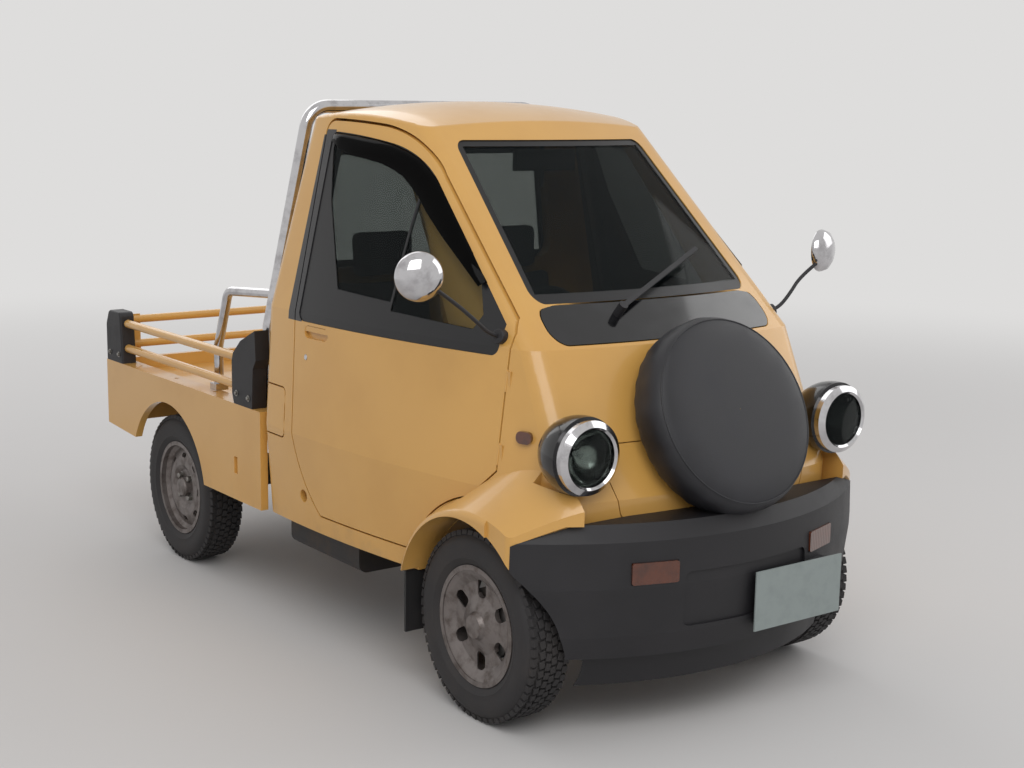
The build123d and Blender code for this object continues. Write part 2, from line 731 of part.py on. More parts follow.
# Blank number plate, left of the middle
plate_face_y = bumper_front_y - plate_standoff
number_plate = block(
    (plate_x - plate_width / 2, plate_face_y - plate_thick, plate_z - plate_height / 2),
    (plate_x + plate_width / 2, plate_face_y, plate_z + plate_height / 2),
)

# Covered spare wheel on a carrier in front of the nose
spare_turn = Pos(0, spare_y, spare_z) * Rot(90 - spare_tilt, 0, 0)
spare_edge = [(spare_radius - drop, spare_half_thick - inset) for drop, inset in spare_shoulder]
spare_solid = revolved(((0, spare_half_thick), *spare_edge, *[(r, -h) for r, h in reversed(spare_edge)],
                        (0, -spare_half_thick)))
spare_cover = spare_turn * spare_solid - bumper_outside
carrier = spare_turn * (Pos(0, 0, -spare_half_thick - 80) * Cylinder(carrier_radius, 160 - 2 * seat_gap))
carrier = carrier - cab_outside
nose_panel = nose_panel + carrier

# Dashboard, fitted to the cab's inside
dash_space = cab_solid(wall_thick + shut_gap, front_thick + seat_gap, wall_thick, roof_thick)
dash_face = yz_face([(back(y), z) for y, z in dash_points])
dashboard = dash_space & side_prism(dash_face, -dash_half, dash_half)
column_turn = Pos(-seat_x, back(steering_wheel_y), steering_wheel_z) * Rot(-column_tilt, 0, 0)
column = column_turn * (Pos(0, 0, -10 - seat_gap - column_length / 2) * Cylinder(24, column_length))
dashboard = (dashboard + column).solids()[0]
ring_points = [
    (steering_ring_radius + steering_grip * cos(radians(36 * n)), steering_grip * sin(radians(36 * n))) for n in range(10)
]
steering_spokes = Box(2 * steering_ring_radius - 16, 30, 12) + Pos(0, -80, 0) * Box(30, steering_ring_radius - 8, 12)
steering_wheel = column_turn * (revolved(ring_points) + steering_spokes + Cylinder(42, 20))
mirror_head = Pos(0, back(cabin_mirror_y), roof_crown_z - 170) * Box(220, 22, 62)
mirror_stem = (Pos(0, back(cabin_mirror_y) + 12, roof_crown_z - 150) * Cylinder(7, 200) & cab_inside).solids()[0]

# Seats
seat_face = yz_face([(back(y), platform_z + seat_gap + z) for y, z in seat_points])
seat = side_prism(seat_face, -seat_x - seat_half_width, -seat_x + seat_half_width)
seat = fillet(seat.edges().filter_by(lambda e: abs(e.center().X + seat_x) > seat_half_width - 1), seat_round)
headrest_face = yz_face([(back(y), platform_z + z) for y, z in headrest_points])
headrest = side_prism(headrest_face, -seat_x - headrest_half, -seat_x + headrest_half)
seat_cushions = both_sides(seat + headrest)

# Bed
bed_start_y = back(cab_levels[0][1]) + shut_gap
bed_outline = yz_face([
    (bed_start_y, bed_flange_z), (bed_start_y, bed_front_foot_z), (rear_axle_y - 260, bed_front_foot_z),
    (rear_axle_y + 180, bed_rear_foot_z - 20), (rear_end_y, bed_rear_foot_z), (rear_end_y, bed_flange_z),
])
bed_side = side_prism(bed_outline, -bed_half_width, -bed_half_width + bed_side_thick)
flange_low = bed_flange_z - bed_flange_thick
bed_side = bed_side + block((-bed_half_width, bed_start_y, flange_low),
                            (-bed_half_width + bed_flange_width, rear_end_y, bed_flange_z))
bed_side = bed_side + block((-bed_half_width + bed_flange_width - bed_lip, bed_start_y, bed_floor_z - bed_floor_thick),
                            (-bed_half_width + bed_flange_width, rear_end_y, bed_flange_z))
slot_block = block((-reach, bed_slot_y, bed_slot_z), (-bed_half_width + bed_slot_depth, bed_slot_y + bed_slot_width,
                                                       bed_slot_z + bed_slot_height))
bed_side = bed_side - slot_block
bed_side = bed_side - wheel_space(rear_axle_y - 15, rear_arch_radius, 300)
for y in flange_hole_ys:
    hole = Pos(-bed_half_width + flange_hole_inset, y, bed_flange_z) * Cylinder(flange_hole_radius, 4 * bed_flange_thick)
    bed_side = bed_side - hole
rear_panel = block((-bed_half_width, rear_end_y - bed_side_thick, bed_rear_foot_z),
                   (bed_half_width, rear_end_y, bed_flange_z))
bed_sides = bed_side + mirror(bed_side, about=Plane.YZ) + rear_panel
tray_half = bed_half_width - bed_flange_width - seat_gap
bed_tray = block((-tray_half, bed_start_y, bed_floor_z - bed_floor_thick),
                 (tray_half, rear_end_y - bed_side_thick, bed_floor_z))
bed_tray = bed_tray + block((-tray_half, bed_start_y, bed_floor_z - 1),
                            (tray_half, bed_start_y + bed_board_thick, bed_flange_z))

post_top_z = bed_flange_z + post_height
post_front_y = rear_end_y - rear_post_length
rear_post_face = yz_face([
    (post_front_y, bed_flange_z), (post_front_y + rear_post_taper / 2, post_top_z),
    (rear_end_y - rear_post_taper, post_top_z), (rear_end_y, post_top_z - 2 * rear_post_taper), (rear_end_y, bed_flange_z),
])
rear_post_face = fillet(rear_post_face.vertices().sort_by(Axis.Z)[-3:], rear_post_round)
rear_post = side_prism(rear_post_face, -bed_half_width, -bed_half_width + rear_post_width)
rear_post = fillet(rear_post.edges().filter_by(lambda e: e.center().X < 1 - bed_half_width and
                                               e.center().Z > bed_flange_z + 5), rear_post_edge)
front_post = side_prism(yz_face([(bed_start_y + y, bed_flange_z + z) for y, z in front_post_points]),
                        -bed_half_width, -bed_half_width + front_post_width)
side_rail_start = bed_start_y + front_post_rear + seat_gap
side_rail_length = post_front_y - seat_gap - side_rail_start
side_rails = [
    Pos(-bed_half_width + rail_inset, side_rail_start, z) * Rot(-90, 0, 0) * Cylinder(
        rail_radius, side_rail_length, align=(Align.CENTER, Align.CENTER, Align.MIN)
    )
    for z in (rail_low_z, rail_high_z)
]

# Rear gate: two rails with an end plate at each post, hinged on the plates' lower bolts
gate_y = rear_end_y - gate_inset_y
post_inner_x = bed_half_width - rear_post_width
gate_half = post_inner_x - shut_gap
gate_tube = across_x(Cylinder(rail_radius, 2 * gate_half))
rear_gate = Pos(0, gate_y, rail_low_z) * gate_tube + Pos(0, gate_y, rail_high_z) * gate_tube
gate_plate = block(
    (-gate_half, gate_y - gate_plate_thick / 2, rail_low_z - gate_plate_reach),
    (-gate_half + gate_plate_width, gate_y + gate_plate_thick / 2, rail_high_z + gate_plate_reach),
)
pin_length = shut_gap - seat_gap
gate_pin = Pos(-gate_half - pin_length / 2, gate_y, rail_low_z) * across_x(Cylinder(gate_pin_radius, pin_length))
for fitting in both_sides(gate_plate + gate_pin):
    rear_gate = rear_gate + fitting

# Roll hoop and its stays
hoop_top_y = hoop_y - hoop_lean
hoop_points = ((-hoop_foot_x, hoop_y, bed_flange_z), (-hoop_foot_x, hoop_y, hoop_bend_z),
               (-hoop_top_x, hoop_top_y, hoop_top_z), (hoop_top_x, hoop_top_y, hoop_top_z),
               (hoop_foot_x, hoop_y, hoop_bend_z), (hoop_foot_x, hoop_y, bed_flange_z))
hoop_start = Plane(origin=hoop_points[0], z_dir=(0, 0, 1))
roll_hoop = sweep(hoop_start * Circle(hoop_radius), path=FilletPolyline(*hoop_points, radius=hoop_corner))
stay_share = (stay_top_z - hoop_bend_z) / (hoop_top_z - hoop_bend_z)
stay_foot_y = hoop_y + stay_spread
stay_points = (
    (-hoop_foot_x + stay_share * (hoop_foot_x - hoop_top_x), hoop_y - stay_share * hoop_lean, stay_top_z),
    (-hoop_foot_x, hoop_y + stay_back, stay_top_z - 20), (-hoop_foot_x, stay_foot_y, rail_high_z),
    (-hoop_foot_x, stay_foot_y, bed_flange_z),
)
stay_start = Plane(origin=stay_points[0], z_dir=Vector(*stay_points[1]) - Vector(*stay_points[0]))
stay = sweep(stay_start * Circle(stay_radius), path=FilletPolyline(*stay_points, radius=stay_bend))
stay = stay + Pos(-hoop_foot_x, stay_foot_y, bed_flange_z + stay_foot / 4) * Box(stay_foot, stay_foot, stay_foot / 2)
for piece in both_sides(stay):
    roll_hoop = roll_hoop + piece

# Chassis: two rails that rise over the rear axle, with cross members
rail_face = yz_face([
    (back(-235), rail_bottom_z), (back(1145), rail_bottom_z), (back(1275), rear_rail_z), (rear_end_y - 60, rear_rail_z),
    (rear_end_y - 60, rear_rail_z + rail_height), (back(1245), rear_rail_z + rail_height), (back(1115), floor_bottom_z),
    (back(-235), floor_bottom_z),
])
frame_rail = side_prism(rail_face, -rail_x - rail_width / 2, -rail_x + rail_width / 2)
chassis_frame = frame_rail + mirror(frame_rail, about=Plane.YZ)
for y, z in ((back(-205), 311), (back(385), 311), (back(885), 300), (rear_axle_y - 435, 480), (rear_axle_y + 355, 480)):
    chassis_frame = chassis_frame + Pos(0, y, z) * Box(2 * rail_x, 60, 50)
for y in (rear_axle_y - 475, rear_axle_y - 35, rear_axle_y + 395):
    for x in (-rail_x, rail_x):
        chassis_frame = chassis_frame + block((x - 30, y - 30, rear_rail_z + rail_height - 1),
                                              (x + 30, y + 30, bed_floor_z - bed_floor_thick))

# Rear axle, springs, powertrain and the rest below
axle_tube = Pos(0, rear_axle_y, hub_z) * across_x(Cylinder(36, 2 * (wheel_track_half - drum_inset)))
carrier_profile = ((0, -95), (50, -84), (100, -40), (100, 40), (50, 84), (0, 95))
axle = axle_tube + Pos(0, rear_axle_y, hub_z) * across_x(revolved(carrier_profile))

# Brake drum with the hub flange that a wheel's disc sits against, its outside at low x
drum_outer_x = wheel_track_half + disc_offset - disc_thick / 2 - seat_gap
drum_low_x = wheel_track_half - drum_inset
hub_drum = Pos(-drum_low_x - drum_width / 2, 0, hub_z) * across_x(Cylinder(drum_radius, drum_width))
hub_drum = hub_drum + Pos(-(drum_low_x + drum_outer_x) / 2, 0, hub_z) * across_x(
    Cylinder(hub_flange_radius, drum_outer_x - drum_low_x)
)
for side in (-1, 1):
    rear_drum = Pos(0, rear_axle_y, 0) * hub_drum
    axle = axle + (rear_drum if side < 0 else mirror(rear_drum, about=Plane.YZ))
    axle = axle + Pos(side * rail_x, rear_axle_y, 318) * Box(60, 90, 60)
    low_start, low_end = (rear_axle_y - 400, 388), (rear_axle_y + 400, 388)
    top_start, top_end = (rear_axle_y - 400, 405), (rear_axle_y + 400, 405)
    leaf = yz_wire_face([
        ThreePointArc(low_start, (rear_axle_y, 330), low_end),
        Line(low_end, top_end),
        ThreePointArc(top_end, (rear_axle_y, 348), top_start),
        Line(top_start, low_start),
    ])
    axle = axle + side_prism(leaf, side * rail_x - 25, side * rail_x + 25)
    for end in (-400, 400):
        axle = axle + Pos(side * rail_x, rear_axle_y + end, 418) * Box(44, 30, 44 - 2 * seat_gap)

pinion_y = rear_axle_y - 125
rear_axle = axle + Pos(0, pinion_y, hub_z) * Rot(-90, 0, 0) * Cylinder(
    34, 60, align=(Align.CENTER, Align.CENTER, Align.MIN)
)

mount_x = rail_x - rail_width / 2 - seat_gap
engine = block((-205, back(675), 235), (205, back(1065), 590)) - block((-400, back(845), 270), (400, back(925), 330))
engine = engine + block((-mount_x, back(980), 285), (mount_x, back(1030), 325))
gearbox_y = back(1375)
gearbox = block((-120, back(1065), 235), (120, gearbox_y, 430))
propshaft = Pos(0, gearbox_y, hub_z) * Rot(-90, 0, 0) * Cylinder(
    28, pinion_y - seat_gap - gearbox_y, align=(Align.CENTER, Align.CENTER, Align.MIN)
)
powertrain = engine + gearbox + propshaft

# Fuel tank under the cab's right floor and a silencer with its tail pipe on the left
rail_side = rail_x + rail_width / 2 + seat_gap
tank = block((-560, back(645), 240), (-rail_side, back(1065), floor_bottom_z - seat_gap))
tank = fillet(tank.edges().filter_by(Axis.Y).sort_by(Axis.Z)[:2], 30)
silencer = Pos(352, back(1420), 362) * Rot(90, 0, 0) * Cylinder(60, 290)
tail_pipe = Pos(352, back(1545), 372) * Rot(-90, 0, 0) * Cylinder(17, rear_end_y - 31 - back(1545), align=(Align.CENTER, Align.CENTER, Align.MIN))
exhaust = silencer + tail_pipe
for y in (back(1365), rear_end_y - 71):
    exhaust = exhaust + block((rail_side - 12, y - 10, 372), (360, y + 10, rear_rail_z - seat_gap))

# Front suspension: cross member, lower arms and struts up to the wheel houses
def link(low_z, inner_x, inner_half):
    return Pos(0, 0, low_z) * extrude(make_face(Polyline(
        (-inner_x, front_axle_y - inner_half), (-inner_x, front_axle_y + inner_half),
        (-kingpin_x - arm_tip, front_axle_y + arm_tip_half), (-kingpin_x - arm_tip, front_axle_y - arm_tip_half),
        close=True,
    )), arm_thick)


kingpin_top_z = hub_z + kingpin_half + seat_gap
arm = link(lower_arm_z, 240, 110) + link(kingpin_top_z, strut_x, 24)
strut_top_z = arch_centre_z + sqrt(arch_radius**2 - strut_radius**2) - seat_gap
strut_low_z = lower_arm_z + arm_thick / 2
for radius, low_z, high_z in ((strut_radius, strut_low_z, strut_top_z), (coil_radius, 372, strut_top_z - 18)):
    arm = arm + Pos(-strut_x, front_axle_y, low_z) * Cylinder(
        radius, high_z - low_z, align=(Align.CENTER, Align.CENTER, Align.MIN)
    )
member_low_z = 178.0
member_high_z = rail_bottom_z - seat_gap
front_suspension = block((-290, front_axle_y - 60, member_low_z), (290, front_axle_y + 60, member_high_z))
front_suspension = front_suspension + arm + mirror(arm, about=Plane.YZ)

# Knuckle: kingpin between the arms, yoke, and the drum
pin_low_z = lower_arm_z + arm_thick + seat_gap
knuckle = block(
    (-kingpin_x - knuckle_thick, front_axle_y - knuckle_half_y, hub_z - 40),
    (-kingpin_x + knuckle_thick, front_axle_y + knuckle_half_y, hub_z + 40),
)
knuckle = knuckle + Pos(-kingpin_x, front_axle_y, pin_low_z) * Cylinder(
    kingpin_radius, kingpin_top_z - seat_gap - pin_low_z, align=(Align.CENTER, Align.CENTER, Align.MIN)
)
knuckle = knuckle + Pos(0, front_axle_y, 0) * hub_drum


# Wheels: a dished disc in a rim, with a tyre; the axis is along X with the outside at low x
def tyre_solid():
    r, w, f = tyre_radius, tyre_half_width, rim_flange_radius + 1
    bead = rim_flange_half - rim_flange_thick
    half = ((tyre_bead_radius, bead), (f, bead), (f + tyre_shoulder, w - 5), ((r + f) / 2, w),
            (r - tyre_shoulder, w - 6), (r - tyre_shoulder / 3, w - 15), (r, tyre_crown_half))
    return across_x(revolved((*half, *[(radius, -x) for radius, x in reversed(half)])))


def rim_solid(disc_points, hole_size, hole_circle, hole_count):
    # Disc points are radius, height; each hole's size is across, along the radius, corner.
    f, h, seat = rim_flange_radius, rim_flange_half, tyre_bead_radius - seat_gap
    bead = h - rim_flange_thick + seat_gap
    outer = ((f, h), (f, bead), (seat, bead), (seat, rim_seat_start), (rim_well_radius, rim_well_half))
    inner = ((seat - rim_wall, h), (seat - rim_wall, rim_seat_start + rim_wall / 2), (rim_well_radius - rim_wall, rim_well_half))
    low = [(radius, -x) for radius, x in outer] + [(radius, x) for radius, x in reversed(outer)]
    barrel = revolved((*low, *inner, *[(radius, -x) for radius, x in reversed(inner)]))
    across, along, corner = hole_size
    disc = revolved(disc_points)
    for n in range(hole_count):
        hole = extrude(Pos(hole_circle, 0) * RectangleRounded(along, across, corner), 2 * tyre_half_width, both=True)
        disc = disc - Rot(0, 0, 360 / hole_count * n) * hole
    return across_x(barrel + disc)


disc_inner = -disc_offset + disc_thick / 2
disc_outer = -disc_offset - disc_thick / 2
cover_points = (
    (0, -68), (32, -66), (40, -54), (60, -45), (82, -37), (118, -37), (138, -50), (cover_edge_radius, -57),
    (cover_edge_radius, -57 + cover_thick), (136, -50 + 2 * cover_thick), (116, -34 + cover_thick / 3),
    (88, -34 + cover_thick / 3), (86, disc_inner), (0, disc_inner),
)
well_inner = rim_well_radius - rim_wall / 2
disc_points = (
    (0, disc_outer - hub_cap_length), (hub_cap_radius - 4, disc_outer - hub_cap_length),
    (hub_cap_radius, disc_outer - hub_cap_length + 6), (hub_cap_radius + 2, disc_outer), (62, disc_outer),
    (80, disc_outer - 13), (104, disc_outer - 13), (well_inner, disc_outer + 3), (well_inner, disc_inner + 1),
    (102, disc_outer - 6), (82, disc_outer - 6), (66, disc_inner), (0, disc_inner),
)
cover_hole = (cover_hole_width, cover_hole_length, cover_hole_round)
vent_hole = (vent_length, vent_width, vent_width / 2 - 1)
tyre = tyre_solid()
rims = {
    "front": rim_solid(cover_points, cover_hole, cover_hole_circle, cover_hole_count),
    "rear": rim_solid(disc_points, vent_hole, vent_circle_radius, vent_count),
}

# Bright round mirrors on the doors, each on a thin arm
mirror_case = Pos(-745, back(40), 1212) * Rot(0, 0, 20) * Rot(-90, 0, 0) * revolved(
    ((0, -12), (60, -12), (66, -6), (62, 4), (36, 18), (0, 22)))
arm_foot, arm_head = Vector(-515, back(20), 1040), Vector(-735, back(45), 1195)
arm_way = arm_head - arm_foot
mirror_arm = Plane(origin=arm_foot, z_dir=arm_way) * Cylinder(6, arm_way.length, align=(Align.CENTER, Align.CENTER, Align.MIN))
mirror_base = Plane(origin=arm_foot, z_dir=(-1, -0.3, 0.15)) * Cylinder(18, 60)
door_mirror = (mirror_case + mirror_arm + mirror_base) - near_cab
door_mirror = door_mirror.solids().sort_by(SortBy.VOLUME)[-1]

# Wiper on the cowl panel, mud flaps and tail lamps
wiper_pivot = Vector(-165, back(-60), 1092)
screen_out = Vector(0, -0.673, 0.74)
wiper = Plane(origin=wiper_pivot, z_dir=screen_out) * Cylinder(13, 70)
arm_place = Plane(origin=wiper_pivot + screen_out * 26, x_dir=(0.9, 0.32, 0.29), z_dir=screen_out)
wiper = wiper + arm_place * Pos(215, 0, 0) * Box(450, 14, 8)
wiper = (wiper - near_cab).solids().sort_by(SortBy.VOLUME)[-1]
mud_flaps = [Pos(x, back(297), floor_bottom_z - seat_gap - 90) * Box(140, 8, 180) for x in (-550, 550)]
tail_lamps = []
for x in (-560, -470, 470, 560):
    tail_lamps.append(Pos(x, rear_end_y, 545) * Rot(-90, 0, 0) * Cylinder(38, 24, align=(Align.CENTER, Align.CENTER, Align.MIN)))

write("chassis_frame", chassis_frame)
write("cab_floor", cab_floor)
write("cab_front", cab_front)
write("cab_rear", cab_rear)
write("cab_roof", cab_roof)
write("fixed_glass", screen_glass, rear_glass, *both_sides(lens))
write("cowl_panel", cowl_panel)
write("nose_panel", nose_panel)
write("front_flares", *both_sides(right_flare))
write("front_bumper", front_bumper)
write("amber_lamps", *both_sides(bumper_lamp), *both_sides(marker))
write("headlamp_pods", *both_sides(pod))
write("headlamp_rims", *both_sides(rim), *both_sides(reflector))
write("number_plate", number_plate)
write("spare_cover", spare_cover)
write("dashboard", dashboard)
write("steering_wheel", steering_wheel)
write("seat_cushions", *seat_cushions)
write("cabin_mirror", mirror_head + mirror_stem)
write("bed_tray", bed_tray)
write("bed_sides", bed_sides)
write("bed_posts", *both_sides(rear_post), *both_sides(front_post))
write("side_rails", *[piece for rail in side_rails for piece in both_sides(rail)])
write("rear_gate", rear_gate)
write("roll_hoop", roll_hoop)
write("rear_axle", rear_axle)
write("powertrain", powertrain)
write("tank_and_exhaust", tank, exhaust)
write("front_suspension", *front_suspension)
write("fuel_lid", fuel_lid)
write("wiper", wiper)
write("mud_flaps", *mud_flaps)
write("tail_lamps", *tail_lamps)
for side, name in ((1, "right"), (-1, "left")):
    def sided(shape):
        return shape if side > 0 else mirror(shape, about=Plane.YZ)
    write(f"door_{name}", sided(door_right))
    write(f"door_glass_{name}", sided(door_glass_right))
    write(f"door_mirror_{name}", sided(door_mirror))
    write(f"knuckle_{name}", sided(knuckle))
    for end, axle_y in (("front", front_axle_y), ("rear", rear_axle_y)):
        place = Pos(-wheel_track_half, axle_y, hub_z)
        write(f"tyre_{end}_{name}", sided(place * tyre))
        write(f"rim_{end}_{name}", sided(place * rims[end]))
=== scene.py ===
import bpy
import json
import math
from mathutils import Matrix, Vector
from mathutils.bvhtree import BVHTree

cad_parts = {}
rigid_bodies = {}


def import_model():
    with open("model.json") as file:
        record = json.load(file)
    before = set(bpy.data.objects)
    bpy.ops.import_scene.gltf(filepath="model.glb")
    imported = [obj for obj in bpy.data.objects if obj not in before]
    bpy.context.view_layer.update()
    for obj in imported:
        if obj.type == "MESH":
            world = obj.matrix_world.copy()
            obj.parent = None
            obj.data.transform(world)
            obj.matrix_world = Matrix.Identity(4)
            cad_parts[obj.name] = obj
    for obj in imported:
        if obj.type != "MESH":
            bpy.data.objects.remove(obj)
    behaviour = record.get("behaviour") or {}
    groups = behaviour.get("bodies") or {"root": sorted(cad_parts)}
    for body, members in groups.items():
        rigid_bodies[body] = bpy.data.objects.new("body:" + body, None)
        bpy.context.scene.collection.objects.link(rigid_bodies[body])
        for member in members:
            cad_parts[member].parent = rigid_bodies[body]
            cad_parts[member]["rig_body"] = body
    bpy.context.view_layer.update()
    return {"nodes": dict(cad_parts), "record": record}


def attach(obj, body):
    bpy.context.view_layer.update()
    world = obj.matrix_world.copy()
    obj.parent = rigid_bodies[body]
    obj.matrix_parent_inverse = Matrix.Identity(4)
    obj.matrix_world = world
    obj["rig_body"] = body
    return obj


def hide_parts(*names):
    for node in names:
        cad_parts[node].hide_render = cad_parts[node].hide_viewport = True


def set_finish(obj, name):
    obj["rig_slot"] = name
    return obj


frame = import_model()
nodes = frame["nodes"]


# Shader maths: a wrapped socket takes part in sums, a bench makes any node
class Field:
    def __init__(self, bench, socket):
        self.bench, self.socket = bench, socket

    def sum(self, operation, *others):
        return self.bench.node("ShaderNodeMath", {"operation": operation}, dict(enumerate((self, *others))))

    def flipped(self, operation, other):
        return self.bench.node("ShaderNodeMath", {"operation": operation}, {0: other, 1: self})

    def __add__(self, other):
        return self.sum("ADD", other)

    def __sub__(self, other):
        return self.sum("SUBTRACT", other)

    def __mul__(self, other):
        return self.sum("MULTIPLY", other)

    def __rsub__(self, other):
        return self.flipped("SUBTRACT", other)

    __radd__, __rmul__ = __add__, __mul__

    def least(self, other):
        return self.sum("MINIMUM", other)

    def most(self, other):
        return self.sum("MAXIMUM", other)

    def step(self, low, high):  # 0 below low, 1 above high
        return self.bench.node("ShaderNodeMapRange", {"interpolation_type": "SMOOTHSTEP"},
                               {0: self, 1: low, 2: high})


class Bench:
    def __init__(self, name=None, tree=None, **surface):  # a new material, or a tree that is there
        if name:
            self.material = bpy.data.materials.new(name)
            self.material.use_nodes = True
            tree = self.material.node_tree
            self.shader = tree.nodes["Principled BSDF"]
        self.tree = tree
        for socket, value in surface.items():
            self.put(socket, value)

    def put(self, socket, value):
        full = {"Color": "Base Color", "Coat": "Coat Weight", "CoatRough": "Coat Roughness"}
        socket = self.shader.inputs[full.get(socket, socket)]
        if isinstance(value, Field):
            self.tree.links.new(value.socket, socket)
        else:
            socket.default_value = value

    def node(self, kind, settings=None, inputs=None, out=0):
        made = self.tree.nodes.new(kind)
        for key, value in (settings or {}).items():
            setattr(made, key, value)
        for key, value in (inputs or {}).items():
            if isinstance(value, Field):
                self.tree.links.new(value.socket, made.inputs[key])
            else:
                made.inputs[key].default_value = value
        return Field(self, made.outputs[out])

    def place(self):  # the piece's own coordinates, in metres
        return self.node("ShaderNodeTexCoord", out="Object")

    def axes(self):
        split = self.node("ShaderNodeSeparateXYZ", None, {0: self.place()})
        return [Field(self, out) for out in split.socket.node.outputs]

    def noise(self, scale, detail=3.0, rough=0.55, place=None):
        place = place or self.place()
        return self.node("ShaderNodeTexNoise", None,
                         {"Vector": place, "Scale": scale, "Detail": detail, "Roughness": rough})

    def cells(self, scale):
        return self.node("ShaderNodeTexVoronoi", None, {"Vector": self.place(), "Scale": scale})

    def blend(self, share, first, second):
        return self.node("ShaderNodeMix", {"data_type": "RGBA"}, {"Factor": share, 6: first, 7: second}, 2)

    def mixShader(self, share, first, second):  # the second shader where share is 1
        joint = self.node("ShaderNodeMixShader", None, {0: share, 1: first, 2: second})
        self.tree.links.new(joint.socket, self.tree.nodes["Material Output"].inputs[0])

    def bump(self, height, depth, strength):
        self.put("Normal", self.node("ShaderNodeBump", None,
                                     {"Strength": strength, "Distance": depth, "Height": height}))


def tint(*screen):  # a screen colour from 0 to 255, as light
    parts = [c / 255 for c in screen]
    return tuple(c / 12.92 if c < 0.0405 else ((c + 0.055) / 1.055) ** 2.4 for c in parts) + (1.0,)


# Finishes: what the painter and the trimmer would change
paintLook = {"colour": tint(212, 162, 84), "worn": tint(196, 146, 74), "dust": tint(150, 128, 98),
             "grain": 900.0, "gloss": 0.3, "splash": (0.3, 0.62)}  # splash: mud thins out over these heights
blackLook = {"colour": tint(26, 25, 28), "worn": tint(40, 38, 41), "grain": 1500.0}
glassLook = {
    "body": tint(20, 24, 26), "border": tint(22, 22, 24), "edge": 0.0012,  # edge: half the border's soft line
    "frontPane": [(-0.818, 1.050), (-0.838, 1.090), (-0.800, 1.165), (-0.606, 1.346),
                  (-0.526, 1.416), (-0.497, 1.436), (-0.497, 1.066)],
    "rearPane": [(-0.488, 1.090), (-0.488, 1.462), (-0.340, 1.514), (-0.200, 1.534),
                 (-0.074, 1.542), (-0.076, 1.501), (-0.116, 1.354), (-0.238, 1.102)],
    "screen": [(-0.374, 1.144), (-0.328, 1.524), (0.328, 1.524), (0.374, 1.144)],
    "backPane": [(-0.446, 1.142), (-0.382, 1.478), (0.382, 1.478), (0.446, 1.142)],
    "behind": (-0.3, -0.2),  # the rear window lies behind these places along y
    "lampTop": (0.95, 1.0)}  # and the headlamp lenses below these heights
doorPillar = [(-0.078, 0.988), (-0.078, 1.562), (-0.015, 1.562), (-0.010, 0.988)]  # black strips beside the glass
rearPillar = [(-0.060, 0.988), (-0.060, 1.546), (-0.015, 1.546), (0.004, 0.988)]
rubberLook = {"colour": tint(28, 27, 28), "worn": tint(46, 44, 44), "grain": 1100.0}
tyreLook = {"colour": tint(40, 38, 39), "worn": tint(62, 58, 56), "grain": 900.0}
vinylLook = {"colour": tint(28, 28, 32), "worn": tint(42, 42, 47), "grain": 700.0}


def paintFinish(name, pillar=None):  # pillar: the outline that stays black beside the glass
    b = Bench(name, CoatRough=0.08)
    x, y, z = b.axes()
    patches = b.noise(3.2, 4.0).step(0.4, 0.7)
    grime = b.noise(14.0, 5.0, 0.6) * (1 - z.step(*paintLook["splash"]))
    runs = b.node("ShaderNodeMapping", None, {0: b.place(), "Scale": (1.0, 1.0, 0.12)})
    streaks = b.noise(26.0, 4.0, 0.7, runs)
    dust = grime.step(0.38, 0.8) * 0.45 + streaks.step(0.62, 0.85) * 0.12
    colour = b.blend(patches * 0.35, paintLook["colour"], paintLook["worn"])
    colour = b.blend(dust, colour, paintLook["dust"])
    rough = paintLook["gloss"] + patches * 0.08 + grime * 0.25
    if pillar:
        black = insideOf(y, z, pillar).step(-0.0006, 0.0006)
        colour, rough = b.blend(black, colour, blackLook["colour"]), rough + black * 0.18
    b.put("Color", colour)
    b.put("Roughness", rough)
    b.put("Coat", 0.55 - grime * 0.3)
    b.bump(b.noise(paintLook["grain"], 2.0), 0.00006, 0.5)
    return b.material


def grainedFinish(name, look, rough=0.56, depth=0.0002):
    b = Bench(name, Coat=0.0)
    wear = b.noise(6.0, 5.0, 0.6).step(0.42, 0.72)
    pits = b.cells(look["grain"])
    b.put("Color", b.blend(wear * 0.55, look["colour"], look["worn"]))
    b.put("Roughness", rough + wear * 0.12 - pits * 0.08)
    b.bump(pits + b.noise(look["grain"] * 0.6, 3.0) * 0.6, depth, 0.7)
    return b.material


def plainFinish(name, colour, worn, rough, metal=0.0, coat=0.0, scale=8.0, grain=600.0,
                depth=0.00005):
    b = Bench(name, Coat=coat, CoatRough=0.06)
    wear = b.noise(scale, 5.0, 0.6).step(0.4, 0.75)
    b.put("Color", b.blend(wear, colour, worn))
    b.put("Roughness", rough + wear * 0.14)
    b.put("Metallic", metal)
    b.bump(b.noise(grain, 2.0), depth, 0.5)
    return b.material


def insideOf(across, up, corners):  # how far inside an outline, its corners clockwise
    reach = None
    for (ay, az), (by, bz) in zip(corners, corners[1:] + corners[:1]):
        dy, dz = by - ay, bz - az
        run = math.hypot(dy, dz)
        side = across * (dz / run) - up * (dy / run) + (dy * az - dz * ay) / run
        reach = side if reach is None else reach.least(side)
    return reach


